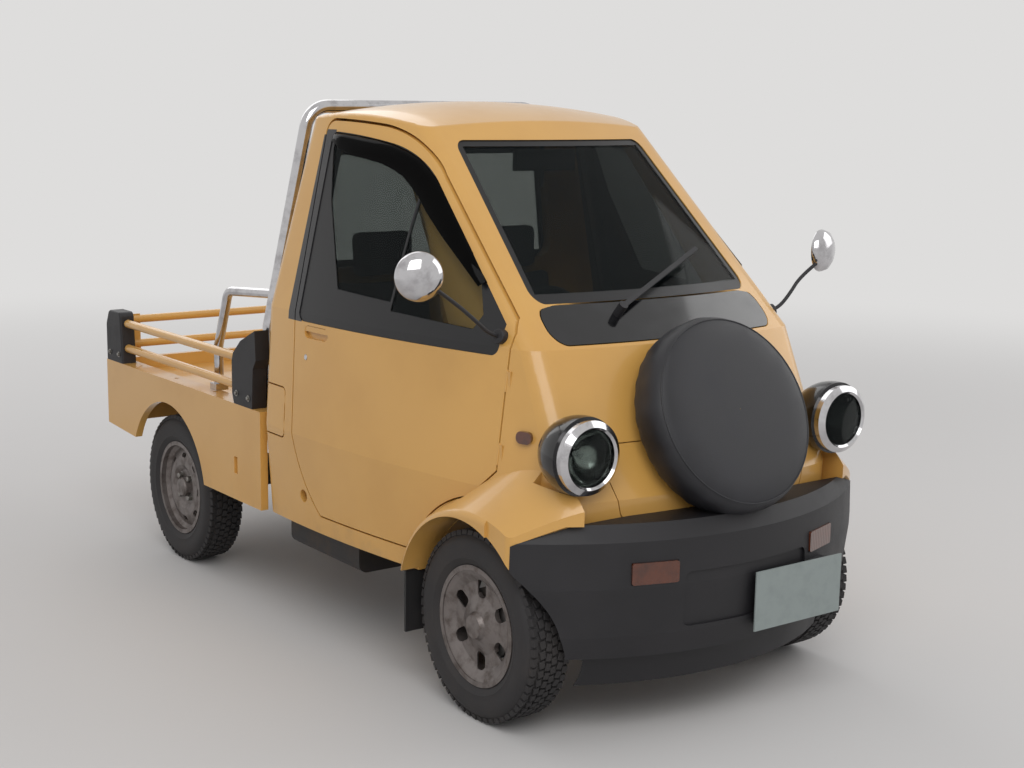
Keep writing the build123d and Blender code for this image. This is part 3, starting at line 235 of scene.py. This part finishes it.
def glassFinish(name, through, colour=None, gloss=0.05, clearPart=None):  # clearPart is 0 on the black border
    colour = colour or glassLook["body"]
    b = Bench(name, Coat=0.0)
    clear = b.node("ShaderNodeBsdfTransparent", None, {0: through})
    rim = b.node("ShaderNodeFresnel", None, {"IOR": 1.45})
    smears = b.noise(5.0, 5.0, 0.65).step(0.45, 0.8)
    mask = clearPart(b) if clearPart else None
    share = rim * 0.8 + smears * 0.02 + gloss
    b.put("Color", b.blend(mask, glassLook["border"], colour) if mask else colour)
    b.put("Roughness", 0.02 + smears * 0.08 + ((1 - mask) * 0.3 if mask else 0.0))
    if mask:
        share = share.most(1 - mask)
    b.mixShader(share.least(1.0), clear, Field(b, b.shader.outputs[0]))
    return b.material


def doorPanes(b):
    y, z = b.axes()[1:]
    front, rear = [insideOf(y, z, glassLook[k]) for k in ("frontPane", "rearPane")]
    return front.most(rear).step(-glassLook["edge"], glassLook["edge"])


def fixedPanes(b):
    x, y, z = b.axes()
    screen, back = [insideOf(x, z, glassLook[k]).step(-glassLook["edge"], glassLook["edge"])
                    for k in ("screen", "backPane")]
    atRear = y.step(*glassLook["behind"])
    lamps = 1 - z.step(*glassLook["lampTop"])
    return (screen * (1 - atRear) + back * atRear).most(lamps)


def lensFinish(name, colour, deep, ribs):
    b = Bench(name, Coat=0.8, CoatRough=0.03)
    x, y = b.axes()[:2]
    b.put("Color", b.blend(b.noise(30.0, 3.0).step(0.3, 0.8), colour, deep))
    rib = b.node("ShaderNodeMath", {"operation": "PINGPONG"}, {0: x + y * 0.4, 1: ribs})
    b.bump(rib * (1 / ribs), 0.0006, 0.8)
    b.put("Roughness", 0.1 + b.noise(60.0, 2.0) * 0.12)
    return b.material


def clothFinish(name, colour, light, pitch=3120.0):
    b = Bench(name, Coat=0.0)
    x, y, z = b.axes()
    weave = b.node("ShaderNodeMath", {"operation": "SINE"}, {0: (x + z) * pitch})
    weft = b.node("ShaderNodeMath", {"operation": "SINE"}, {0: (y - z) * pitch})
    thread = weave * weft
    worn = b.noise(9.0, 4.0).step(0.35, 0.75)
    b.put("Color", b.blend(worn * 0.5 + thread * 0.12 + 0.12, colour, light))
    b.put("Roughness", 0.86 + worn * 0.1)
    b.bump(thread + b.noise(900.0, 2.0) * 0.5, 0.0004, 0.7)
    return b.material


bright = tint(205, 204, 206)
finishes = {
    "body_paint": paintFinish("YellowPaint"),
    "doorPaint": paintFinish("DoorPaint", doorPillar),
    "rearPaint": paintFinish("RearPaint", rearPillar),
    "black_plastic": grainedFinish("GrainedBlack", blackLook),
    "black_gloss": plainFinish("GlossBlack", tint(14, 14, 16), tint(24, 24, 27), 0.12, coat=0.4),
    "bright_chrome": plainFinish("BrightChrome", bright, tint(176, 174, 176), 0.08, metal=1.0, scale=24.0),
    "glass": glassFinish("ClearGlass", tint(246, 249, 247)),
    "sideGlass": glassFinish("SideGlass", tint(240, 244, 242), clearPart=doorPanes),
    "fixedGlass": glassFinish("FixedGlass", tint(247, 250, 248), clearPart=fixedPanes),
    "smoked": glassFinish("SmokedPlastic", tint(66, 66, 68), tint(10, 10, 11), 0.1),
    "amber": lensFinish("AmberLens", tint(92, 44, 22), tint(66, 32, 18), 0.006),
    "red_lens": lensFinish("RedLens", tint(150, 24, 22), tint(108, 12, 14), 0.006),
    "plate": plainFinish("BlankPlate", tint(142, 151, 149), tint(134, 143, 141), 0.42, scale=20.0),
    "silver_paint": plainFinish("SilverPaint", tint(124, 117, 114), tint(88, 79, 74), 0.38, metal=0.55, scale=30.0),
    "steel": plainFinish("ZincSteel", tint(150, 148, 144), tint(112, 104, 96), 0.36, metal=0.9, scale=60.0),
    "mirrorGlass": plainFinish("MirrorGlass", tint(206, 210, 210), tint(192, 196, 196), 0.03, metal=1.0, grain=20.0),
    "tyre": grainedFinish("TyreRubber", tyreLook, 0.72),
    "vinyl": grainedFinish("CoverVinyl", vinylLook, 0.5, 0.00035),
    "rubber": grainedFinish("SealRubber", rubberLook, 0.66),
    "chassis_black": plainFinish("ChassisBlack", tint(38, 36, 36), tint(70, 60, 52), 0.6, scale=12.0),
    "cast": plainFinish("CastMetal", tint(118, 116, 114), tint(84, 76, 68), 0.55, metal=0.6, scale=16.0, grain=260.0,
                        depth=0.0004),
    "seat_cloth": clothFinish("CushionCloth", tint(52, 52, 57), tint(82, 82, 88)),
}
nodeFinish = {"door_glass_right": "sideGlass", "door_glass_left": "sideGlass", "fixed_glass": "fixedGlass",
              "door_right": "doorPaint", "door_left": "doorPaint", "cab_rear": "rearPaint"}
for part in frame["record"]["subparts"]:
    node = nodes[part["node"]]
    node.data.materials.clear()
    node.data.materials.append(finishes[nodeFinish.get(part["node"], part["material_slot"])])
print("finishes on", len(nodes), "nodes")


# Hand tools
def freshStart():
    if bpy.context.object and bpy.context.object.mode == "EDIT":
        bpy.ops.object.mode_set(mode="OBJECT")
    bpy.ops.object.select_all(action="DESELECT")


def hold(*pieces):
    freshStart()
    for piece in pieces:
        piece.select_set(True)
    bpy.context.view_layer.objects.active = pieces[0]


def named(name):
    piece = bpy.context.object
    piece.name = piece.data.name = name
    return piece


def pick(piece, test):  # into edit mode with the faces that pass
    hold(piece)
    mesh = piece.data
    for group in (mesh.vertices, mesh.edges, mesh.polygons):
        group.foreach_set("select", [False] * len(group))
    for face in mesh.polygons:
        face.select = bool(test(face))
    bpy.ops.object.mode_set(mode="EDIT")
    bpy.ops.mesh.select_mode(type="FACE")


def pickAll(piece):
    hold(piece)
    bpy.ops.object.mode_set(mode="EDIT")
    bpy.ops.mesh.select_mode(type="VERT")
    bpy.ops.mesh.select_all(action="SELECT")


def done(piece):
    bpy.ops.object.mode_set(mode="OBJECT")
    return piece


def tidied(piece):
    pickAll(piece)
    bpy.ops.mesh.remove_doubles(threshold=0.00005)
    bpy.ops.mesh.normals_make_consistent(inside=False)
    return done(piece)


def withModifier(piece, kind, **settings):
    hold(piece)
    made = piece.modifiers.new(kind.title(), kind)
    for key, value in settings.items():
        setattr(made, key, value)
    bpy.ops.object.modifier_apply(modifier=made.name)
    return piece


def rounded(piece, width, segments=2, angle=35):
    return withModifier(piece, "BEVEL", width=width, segments=segments, limit_method="ANGLE",
                        angle_limit=math.radians(angle), harden_normals=False)


def smoothed(piece, angle=35):
    hold(piece)
    bpy.ops.object.shade_smooth_by_angle(angle=math.radians(angle))
    return piece


def settled(piece, matrix=None):  # the place goes into the mesh
    hold(piece)
    if matrix is not None:
        piece.matrix_world = matrix
    bpy.ops.object.transform_apply(location=True, rotation=True, scale=True)
    return piece


def copied(piece, name, matrix):
    hold(piece)
    bpy.ops.object.duplicate()
    twin = named(name)
    return settled(twin, matrix)


def joined(name, pieces):
    hold(*pieces)
    if len(pieces) > 1:
        bpy.ops.object.join()
    return named(name)


def mirrored(piece, name):
    twin = copied(piece, name, Matrix.Diagonal((-1, 1, 1, 1)))
    pickAll(twin)
    bpy.ops.mesh.flip_normals()
    return done(twin)


def dress(piece, body, slot, finish=None, smooth=35):
    if smooth:
        smoothed(piece, smooth)
    piece.data.materials.clear()
    piece.data.materials.append(finishes[finish or slot])
    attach(piece, body)
    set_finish(piece, slot)
    return piece


def strokes(points):  # a line of edges through the points
    bpy.ops.mesh.primitive_plane_add(size=0.001, location=points[0])
    piece = bpy.context.object
    pickAll(piece)
    bpy.ops.mesh.merge(type="CENTER")
    for here, there in zip(points, points[1:]):
        step = [b - a for a, b in zip(here, there)]
        bpy.ops.mesh.extrude_region_move(TRANSFORM_OT_translate={"value": step})
    bpy.ops.object.mode_set(mode="OBJECT")
    return settled(piece)


def lathed(name, outline, steps, closed=True):  # outline points are radius, place along x
    freshStart()
    points = [(along, 0, radius) for radius, along in outline]
    if closed:
        points.append(points[0])
    piece = strokes(points)
    pickAll(piece)
    bpy.ops.mesh.spin(steps=steps, angle=math.tau, center=(0, 0, 0), axis=(1, 0, 0))
    done(piece)
    tidied(piece)
    return named(name)


def tube(name, points, radius):
    freshStart()
    curve = bpy.data.curves.new(name, "CURVE")
    curve.dimensions, curve.bevel_depth, curve.bevel_resolution = "3D", radius, 4
    curve.use_fill_caps = True
    line = curve.splines.new("NURBS")
    line.points.add(len(points) - 1)
    for point, place in zip(line.points, points):
        point.co = (*place, 1)
    line.use_endpoint_u, line.order_u, line.resolution_u = True, 3, 8
    piece = bpy.data.objects.new(name, curve)
    bpy.context.scene.collection.objects.link(piece)
    hold(piece)
    bpy.ops.object.convert(target="MESH")
    return tidied(named(name))


sides = {"right": -1, "left": 1}
wheels = {"track": 0.53, "front": -0.945, "rear": 0.895, "hub": 0.264}


def wheelPlace(side, end):
    turn = Matrix.Rotation(math.pi if side > 0 else 0, 4, "Z")
    return Matrix.Translation((side * wheels["track"], wheels[end], wheels["hub"])) @ turn


# Tyres: a carcass turned in one piece and a ring of tread blocks, with the outside at low x
tyre = {"radius": 0.2635, "pitches": 60, "depth": 0.0065, "steps": 96,
        "side": [(0.1600, 0.0555), (0.1680, 0.0560), (0.1720, 0.0600), (0.1850, 0.0672), (0.1870, 0.0686),
                 (0.1895, 0.0680), (0.2050, 0.0706), (0.2220, 0.0710), (0.2330, 0.0697), (0.2410, 0.0655),
                 (0.2500, 0.0580)],  # radius and place along the axle, from the bead out
        "bead": [(0.1590, 0.0500), (0.1590, -0.0500)],
        "rows": [(-0.0520, 0.0155, 0.0022, 0.0), (-0.0300, 0.0170, 0.0, 0.35), (-0.0092, 0.0170, 0.0, 0.7),
                 (0.0092, 0.0170, 0.0, 0.2), (0.0300, 0.0170, 0.0, 0.85), (0.0520, 0.0155, 0.0022, 0.5)],
        "blockLong": 0.0205, "blockTall": 0.013, "sunk": 0.0073, "chamfer": (0.0012, 0.0008),
        "slant": 14, "outerSlant": 6, "outerTip": 12, "outerFrom": 0.04}  # degrees; the outer rows lie past outerFrom


def treadBlock(n, along, width, drop, shift):  # one block of row n, at its place on the ring
    freshStart()
    bpy.ops.mesh.primitive_cube_add(size=1, location=(0, 0, 0))
    block = bpy.context.object
    block.scale = (width, tyre["blockLong"], tyre["blockTall"])
    settled(block)
    pick(block, lambda face: face.normal.z > 0.9)
    bpy.ops.mesh.inset(thickness=tyre["chamfer"][0])
    bpy.ops.transform.translate(value=(0, 0, tyre["chamfer"][1]))
    done(block)
    outer = abs(along) > tyre["outerFrom"]
    slant = tyre["outerSlant"] if outer else tyre["slant"] * (1 if n % 2 else -1)
    tip = math.copysign(tyre["outerTip"], along) if outer else 0
    around = Matrix.Rotation(shift * math.tau / tyre["pitches"], 4, "X")
    out = Matrix.Translation((along, 0, tyre["radius"] - tyre["sunk"] - drop))
    lean = Matrix.Rotation(math.radians(-tip), 4, "Y") @ Matrix.Rotation(math.radians(slant), 4, "Z")
    return settled(block, around @ out @ lean)


def makeTyre():
    base = tyre["radius"] - tyre["depth"]
    side = tyre["side"] + [(base - 0.001, 0.0500), (base, 0.0460)]
    outline = [(radius, -along) for radius, along in side] + [(radius, along) for radius, along in reversed(side)]
    carcass = lathed("tyreCarcass", outline + tyre["bead"], tyre["steps"])
    ring = joined("treadRing", [treadBlock(n, *row) for n, row in enumerate(tyre["rows"])])
    freshStart()
    bpy.ops.object.empty_add(rotation=(math.tau / tyre["pitches"], 0, 0))
    guide = bpy.context.object
    withModifier(ring, "ARRAY", count=tyre["pitches"], use_relative_offset=False, use_object_offset=True,
                 offset_object=guide)
    bpy.data.objects.remove(guide)
    return smoothed(joined("tyreModel", [carcass, ring]), 32)


model = makeTyre()
for sideName, side in sides.items():
    for end in ("front", "rear"):
        piece = copied(model, f"tyre_tread_{end}_{sideName}", wheelPlace(side, end))
        dress(piece, f"wheel_{end}_{sideName}", "tyre", smooth=0)
        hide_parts(f"tyre_{end}_{sideName}")
bpy.data.objects.remove(model)
print("tyres made")


# Where a straight line first meets some of the CAD nodes
skins = {}


def skinOf(name):
    if name not in skins:
        mesh = nodes[name].data
        corners, faces = [v.co for v in mesh.vertices], [f.vertices for f in mesh.polygons]
        skins[name] = BVHTree.FromPolygons(corners, faces)
    return skins[name]


def meets(start, way, *names):
    found = [skinOf(name).ray_cast(Vector(start), Vector(way)) for name in names]
    found = [hit for hit in found if hit[0] is not None]
    place, normal, _, _ = min(found, key=lambda hit: hit[3])
    return place, normal if normal.dot(Vector(way)) < 0 else -normal


def onSide(y, z, *names, out=0.0):  # a point on the truck's right side
    place, normal = meets((-1.2, y, z), (1, 0, 0), *names)
    return place + normal * out


def ribbon(name, rows, thick):  # a strip through rows of points
    pieces = [strokes([tuple(p) for p in row]) for row in rows]
    piece = joined(name, pieces)
    pickAll(piece)
    bpy.ops.mesh.bridge_edge_loops()
    done(piece)
    tidied(piece)
    return withModifier(piece, "SOLIDIFY", thickness=thick, offset=0)


def aimed(place, way, roll=0.0):  # a matrix that takes up to the way given
    aim = Vector(way).to_track_quat("Z", "Y").to_matrix().to_4x4()
    return Matrix.Translation(Vector(place)) @ aim @ Matrix.Rotation(roll, 4, "Z")


def turned(name, outline, steps):  # outline points are radius, height
    piece = lathed(name, outline, steps, closed=False)
    return settled(piece, Matrix.Rotation(math.radians(-90), 4, "Y"))


# Door fittings: rain visor, lock, mirror, made for the right door and mirrored
visor = {"head": [(-0.819, 1.172), (-0.739, 1.246), (-0.661, 1.318), (-0.587, 1.386), (-0.538, 1.429),
                  (-0.490, 1.462), (-0.450, 1.488), (-0.400, 1.508), (-0.340, 1.526), (-0.270, 1.538),
                  (-0.200, 1.546), (-0.130, 1.551), (-0.085, 1.553)],  # along the window's upper edge
         "width": 0.062, "thick": 0.0026, "rows": [(0.02, 0.0015), (0.3, 0.0144), (1.0, 0.018)],  # share, stand-off
         "onto": ("door_right", "door_glass_right", "cab_front", "cab_rear", "cab_roof")}
mirror = {"at": (-0.745, -0.905, 1.212), "faces": (0.34, 0.94, -0.02), "radius": 0.064, "arm": 0.0055, "steps": 64,
          "foot": (-0.925, 1.040), "base": (0.020, 0.030), "baseWay": (-0.96, -0.2, 0.2)}
lock = {"at": (-0.110, 0.884), "steps": 32,
        "outline": [(0.0, 0.0030), (0.0055, 0.0030), (0.0062, 0.0022), (0.0070, 0.0030), (0.0084, 0.0026),
                    (0.0088, 0.0), (0.0088, -0.004)]}


def makeVisor():
    head = visor["head"]
    rows = [[] for row in visor["rows"]]
    for n, (y, z) in enumerate(head):
        (py, pz), (qy, qz) = head[max(n - 1, 0)], head[min(n + 1, len(head) - 1)]
        run = math.hypot(qy - py, qz - pz)
        inY, inZ = (qz - pz) / run, -(qy - py) / run
        width = visor["width"] * min(1.0, 0.35 + n * 0.25, 0.45 + (len(head) - 1 - n) * 0.3)  # narrow at both ends
        for row, (share, out) in zip(rows, visor["rows"]):
            row.append(onSide(y + inY * width * share, z + inZ * width * share, *visor["onto"], out=out))
    piece = ribbon("rain_visor_right", rows, visor["thick"])
    return dress(rounded(piece, 0.0008, 1, 60), "door_right", "black_gloss", "smoked", 50)


def makeMirror():
    r, at = mirror["radius"], Vector(mirror["at"])
    case = [(0.0, -0.030), (0.020, -0.029), (0.042, -0.023), (0.058, -0.012), (r, 0.002), (r + 0.0012, 0.008),
            (r, 0.012), (r - 0.006, 0.0125), (r - 0.0065, 0.010), (0.0, 0.010)]
    pane = [(0.0, 0.0108), (r - 0.007, 0.0104), (r - 0.007, 0.0096), (0.0, 0.0096)]
    shell = turned("door_mirror_case_right", case, mirror["steps"])
    glass = turned("door_mirror_glass_right", pane, mirror["steps"])
    for piece in (shell, glass):
        settled(piece, aimed(at, mirror["faces"]))
    foot = onSide(*mirror["foot"], "door_right", "cab_front")
    neck = at - Vector(mirror["faces"]).normalized() * 0.022 + Vector((0.012, 0, -0.012))
    route = [foot, foot + Vector((-0.040, -0.002, 0.010)), foot + Vector((-0.085, -0.002, 0.048)),
             foot + (at - foot) * 0.6, neck]
    arm = tube("door_mirror_arm_right", route, mirror["arm"])
    freshStart()
    bpy.ops.mesh.primitive_cylinder_add(vertices=40, radius=mirror["base"][0], depth=mirror["base"][1])
    base = named("door_mirror_base_right")
    pick(base, lambda face: abs(face.normal.z) > 0.9)
    bpy.ops.mesh.inset(thickness=0.005)
    done(base)
    rounded(base, 0.003, 3, 30)
    settled(base, aimed(foot + Vector((-0.004, 0, 0.002)), mirror["baseWay"]))
    dress(shell, "door_right", "bright_chrome")
    dress(glass, "door_right", "bright_chrome", "mirrorGlass")
    for piece in (arm, base):
        dress(piece, "door_right", "black_plastic")
    return [shell, glass, arm, base]


def makeLock():
    piece = turned("door_lock_right", lock["outline"], lock["steps"])
    place, normal = meets((-1.2, *lock["at"]), (1, 0, 0), "door_right")
    settled(piece, aimed(place - normal * 0.0002, normal))
    return dress(piece, "door_right", "bright_chrome")


def toLeft(piece):  # the same piece on the other side
    finish, body, slot = piece.data.materials[0], piece["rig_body"], piece["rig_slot"]
    twin = mirrored(piece, piece.name.replace("right", "left"))
    dress(twin, body.replace("right", "left"), slot, smooth=0)
    twin.data.materials.clear()
    twin.data.materials.append(finish)
    return twin


for piece in [makeVisor(), makeLock(), *makeMirror()]:
    toLeft(piece)
for side in sides:
    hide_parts("door_mirror_" + side)
print("door fittings made")


# Bolts and nuts, modelled once; a place is a point and the way that the head faces
def makeBolt(name, radius, height, washer):
    freshStart()
    bpy.ops.mesh.primitive_cylinder_add(vertices=6, radius=radius, depth=height, location=(0, 0, height / 2 + 0.0012))
    head = named(name)
    pick(head, lambda face: face.normal.z > 0.9)
    bpy.ops.mesh.inset(thickness=radius * 0.18)
    bpy.ops.transform.translate(value=(0, 0, height * 0.14))
    done(head)
    bpy.ops.mesh.primitive_cylinder_add(vertices=24, radius=radius * washer, depth=0.0014, location=(0, 0, 0.0007))
    ring = bpy.context.object
    return settled(rounded(joined(name, [head, ring]), 0.0003, 1, 40))


def scattered(name, model, places):  # copies of one model, as one piece
    return joined(name, [copied(model, name + "_one", aimed(at, way, n)) for n, (at, way) in enumerate(places)])


bolts = {"gate": [(0.566, 0.745), (0.566, 0.770), (0.566, 0.795)], "gateY": 1.3655,  # x and z on the end plates
         "posts": [(1.285, 0.700), (1.365, 0.700), (0.248, 0.700), (0.330, 0.705)], "postX": 0.6425}  # y and z
nuts = {"count": 4, "circle": 0.050, "x": 0.5615}
bolt, nut = makeBolt("boltModel", 0.0062, 0.005, 1.7), makeBolt("nutModel", 0.0105, 0.014, 1.25)
gateBolts = [((side * x, bolts["gateY"], z), (0, 1, 0)) for side in (-1, 1) for x, z in bolts["gate"]]
postBolts = [((side * bolts["postX"], y, z), (side, 0, 0)) for side in (-1, 1) for y, z in bolts["posts"]]
for name, places, body in (("gate_bolts", gateBolts, "rear_gate"), ("post_bolts", postBolts, "chassis")):
    dress(scattered(name, bolt, places), body, "black_plastic", "steel")
for sideName, side in sides.items():
    ring = []
    for n in range(nuts["count"]):
        a = math.tau / nuts["count"] * (n + 0.5)
        y, z = (wheels["rear"] + nuts["circle"] * math.cos(a), wheels["hub"] + nuts["circle"] * math.sin(a))
        ring.append(((side * nuts["x"], y, z), (side, 0, 0)))
    dress(scattered("wheel_nuts_" + sideName, nut, ring), "wheel_rear_" + sideName, "silver_paint", "steel")
for model in (bolt, nut):
    bpy.data.objects.remove(model)
print("bolts made")


# Seats: a firm start shape, then blown up as cloth
seat = {"x": 0.25, "voxel": 0.008, "pressure": 4.0, "frames": 20, "fill": 0.8, "round": 0.42,
        "parts": {  # width, depth, height; place along y and z; degrees back; how far a point may move
            "seat_cushion": {"size": (0.398, 0.335, 0.112), "at": (-0.1225, 0.716), "lean": 3, "cap": 0.020},
            "seat_back": {"size": (0.372, 0.052, 0.290), "at": (0.048, 0.945), "lean": -9, "cap": 0.016},
            "headrest": {"size": (0.216, 0.052, 0.142), "at": (0.063, 1.166), "lean": -4, "cap": 0.012}}}


def blownUp(piece, cap):  # cloth swelled by air, each point held within its cap
    withModifier(piece, "REMESH", mode="VOXEL", voxel_size=seat["voxel"])
    before = [v.co.copy() for v in piece.data.vertices]
    cloth = piece.modifiers.new("Air", "CLOTH")
    cloth.settings.use_pressure, cloth.settings.uniform_pressure_force = True, seat["pressure"]
    cloth.settings.effector_weights.gravity = 0
    cloth.settings.quality, cloth.settings.mass = 6, 0.3
    cloth.collision_settings.use_collision = False
    for n in range(1, seat["frames"] + 1):
        bpy.context.scene.frame_set(n)
    hold(piece)
    bpy.ops.object.modifier_apply(modifier=cloth.name)
    for point, was in zip(piece.data.vertices, before):
        step = point.co - was
        if step.length > cap:
            point.co = was + step * (cap / step.length)
    bpy.context.scene.frame_set(1)


def makePad(name, size, cap):
    freshStart()
    bpy.ops.mesh.primitive_cube_add(size=1)
    pad = bpy.context.object
    pad.scale = size
    settled(pad)
    rounded(pad, min(size) * seat["round"], 5, 30)
    blownUp(pad, cap)
    withModifier(pad, "SMOOTH", factor=0.5, iterations=6)
    return named(name)


for padName, look in seat["parts"].items():
    pad = makePad(padName + "_right", look["size"], look["cap"])
    lean = Matrix.Rotation(math.radians(look["lean"]), 4, "X")
    for sideName, side in sides.items():
        place = Matrix.Translation((side * seat["x"], *look["at"])) @ lean
        piece = copied(pad, f"{padName}_{sideName}_pad", place)
        dress(piece, "chassis", "seat_cloth", smooth=60)
        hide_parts("seat_cushions")
    bpy.data.objects.remove(pad)
print("seats made")


# Spare wheel's cover: one vinyl skin, pulled over the tyre and gathered behind it
cover = {"at": (0, -1.259, 0.833), "tilt": 25, "radius": 0.2705, "half": 0.066, "steps": 128,
         "flat": (0.83, 0.83), "cut": 0.62,  # the sheet's width and length, and the skin cut from it
         "seam": 0.0022, "seamRadius": 0.2540, "seamDrop": 0.0132,
         "face": [(0.001, 0.0010), (0.090, 0.0012), (0.170, 0.0004), (0.205, -0.0012), (0.232, -0.0048),
                  (0.246, -0.0096), (0.2525, -0.0128), (0.2545, -0.0134), (0.2565, -0.0160),
                  (0.2630, -0.0240)],  # radius, and height from the face
         "hem": [(0.2540, 0.006), (0.2360, 0.002), (0.2100, 0.0010)]}  # radius, and height from the back


def onNose(piece):  # from lying flat to its place on the truck's nose
    lean = Matrix.Rotation(math.radians(90 - cover["tilt"]), 4, "X")
    return settled(piece, Matrix.Translation(cover["at"]) @ lean)


def makeCover():
    r, h = cover["radius"], cover["half"]
    outline = [(radius, h + up) for radius, up in cover["face"]]
    outline += [(r - 0.0008, h - 0.0420), (r + 0.0006, 0.004), (r - 0.0010, -0.030), (0.2640, -0.0500)]
    outline += [(radius, up - h) for radius, up in cover["hem"]]
    piece = turned("spare_cover_vinyl", outline, cover["steps"])
    withModifier(piece, "SUBSURF", levels=1)
    for point in piece.data.vertices:  # slack in the skin: a low fold near the bottom, pleats at the side and hem
        around = math.atan2(point.co.x, -point.co.y)
        out = math.hypot(point.co.x, point.co.y) / r
        low = max(0.0, math.cos(around)) ** 3
        side = max(0.0, 1 - abs(point.co.z) / h) if out > 0.9 else 0.0
        pleats = math.sin(around * 23) * 0.0009 + math.sin(around * 9 + 1.3) * 0.0012
        gathers = math.sin(around * 31) * 0.0014 if point.co.z < -h * 0.7 else 0.0
        fold = math.sin(out * 19 + around * 2.4) * 0.0026 * low * max(0.0, out - 0.55)
        scale = 1 - (pleats * side + gathers) / r
        point.co = (point.co.x * scale, point.co.y * scale, point.co.z + fold)
    return onNose(piece)


def makePiping():
    freshStart()
    bpy.ops.mesh.primitive_torus_add(major_segments=cover["steps"], minor_segments=8, minor_radius=cover["seam"],
                                     major_radius=cover["seamRadius"],
                                     location=(0, 0, cover["half"] - cover["seamDrop"]))
    return onNose(settled(named("spare_cover_piping")))


skin, piping = makeCover(), makePiping()
for piece in (skin, piping):
    dress(piece, "chassis", "vinyl", smooth=70)
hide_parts("spare_cover")
print("spare cover made")


# Stage: camera at the photograph's place, soft light, pale floor and wall
cameraPlace = {"at": (-2.9652, -4.2699, 1.6668), "right": (0.80746, -0.58976, 0.01388),
               "up": (0.09591, 0.15445, 0.98333), "ahead": (0.58208, 0.79267, -0.18128),
               "lens": 55.85, "film": 36, "shift": (0.01395, 0.00504)}
lamps = {"key": {"at": (-3.2, -4.6, 5.2), "size": 4.5, "power": 190.0},
         "fill": {"at": (4.8, -2.2, 3.4), "size": 4.0, "power": 70.0},
         "back": {"at": (0.5, 5.0, 4.6), "size": 5.0, "power": 90.0}}
room = {"floor": tint(206, 204, 202), "wall": tint(222, 221, 220), "light": tint(190, 190, 192),
        "lampsAim": (0, 0, 0.6), "radius": 60, "fade": (2.4, 9.0)}  # the floor turns into the wall over fade

freshStart()
bpy.ops.object.camera_add()
camera = named("Camera")
turn = Matrix([[cameraPlace[k][n] * s for k, s in (("right", 1), ("up", 1), ("ahead", -1))] for n in range(3)])
camera.matrix_world = Matrix.Translation(cameraPlace["at"]) @ turn.to_4x4()
camera.data.lens, camera.data.sensor_width = cameraPlace["lens"], cameraPlace["film"]
camera.data.shift_x, camera.data.shift_y = cameraPlace["shift"]
camera.data.clip_end = 200
bpy.context.scene.camera = camera
for name, look in lamps.items():
    bpy.ops.object.light_add(type="AREA", location=look["at"])
    lamp = named(name + "Lamp")
    lamp.data.size, lamp.data.energy = look["size"], look["power"]
    aim = Vector(room["lampsAim"]) - Vector(look["at"])
    lamp.rotation_euler = aim.to_track_quat("-Z", "Y").to_euler()


def seenBy(b):  # 1 for what the camera sees, also in metal and through glass
    rays = b.node("ShaderNodeLightPath").socket.node
    ways = [Field(b, rays.outputs[k]) for k in ("Is Camera Ray", "Is Glossy Ray", "Is Transmission Ray")]
    return ways[0].most(ways[1]).most(ways[2])


world = bpy.data.worlds.new("PaleRoom")
bpy.context.scene.world = world
world.use_nodes = True
b = Bench(tree=world.node_tree)
shown = b.blend(seenBy(b), room["light"], room["wall"])
b.tree.links.new(shown.socket, b.tree.nodes["Background"].inputs[0])
bpy.context.scene.view_settings.view_transform = "Standard"

freshStart()
bpy.ops.mesh.primitive_circle_add(vertices=96, radius=room["radius"], fill_type="NGON")
floor = named("PaleFloor")
b = Bench("FloorFinish", Color=room["floor"])
b.put("Roughness", 0.75 + b.noise(3.0, 4.0) * 0.15)
x, y = b.axes()[:2]
far = (x * x + y * y).sum("POWER", 0.5).step(*room["fade"])
glow = b.node("ShaderNodeEmission", None, {"Color": room["wall"], "Strength": 1.0})
b.mixShader(far * seenBy(b), Field(b, b.shader.outputs[0]), glow)
floor.data.materials.append(b.material)
print("stage made")
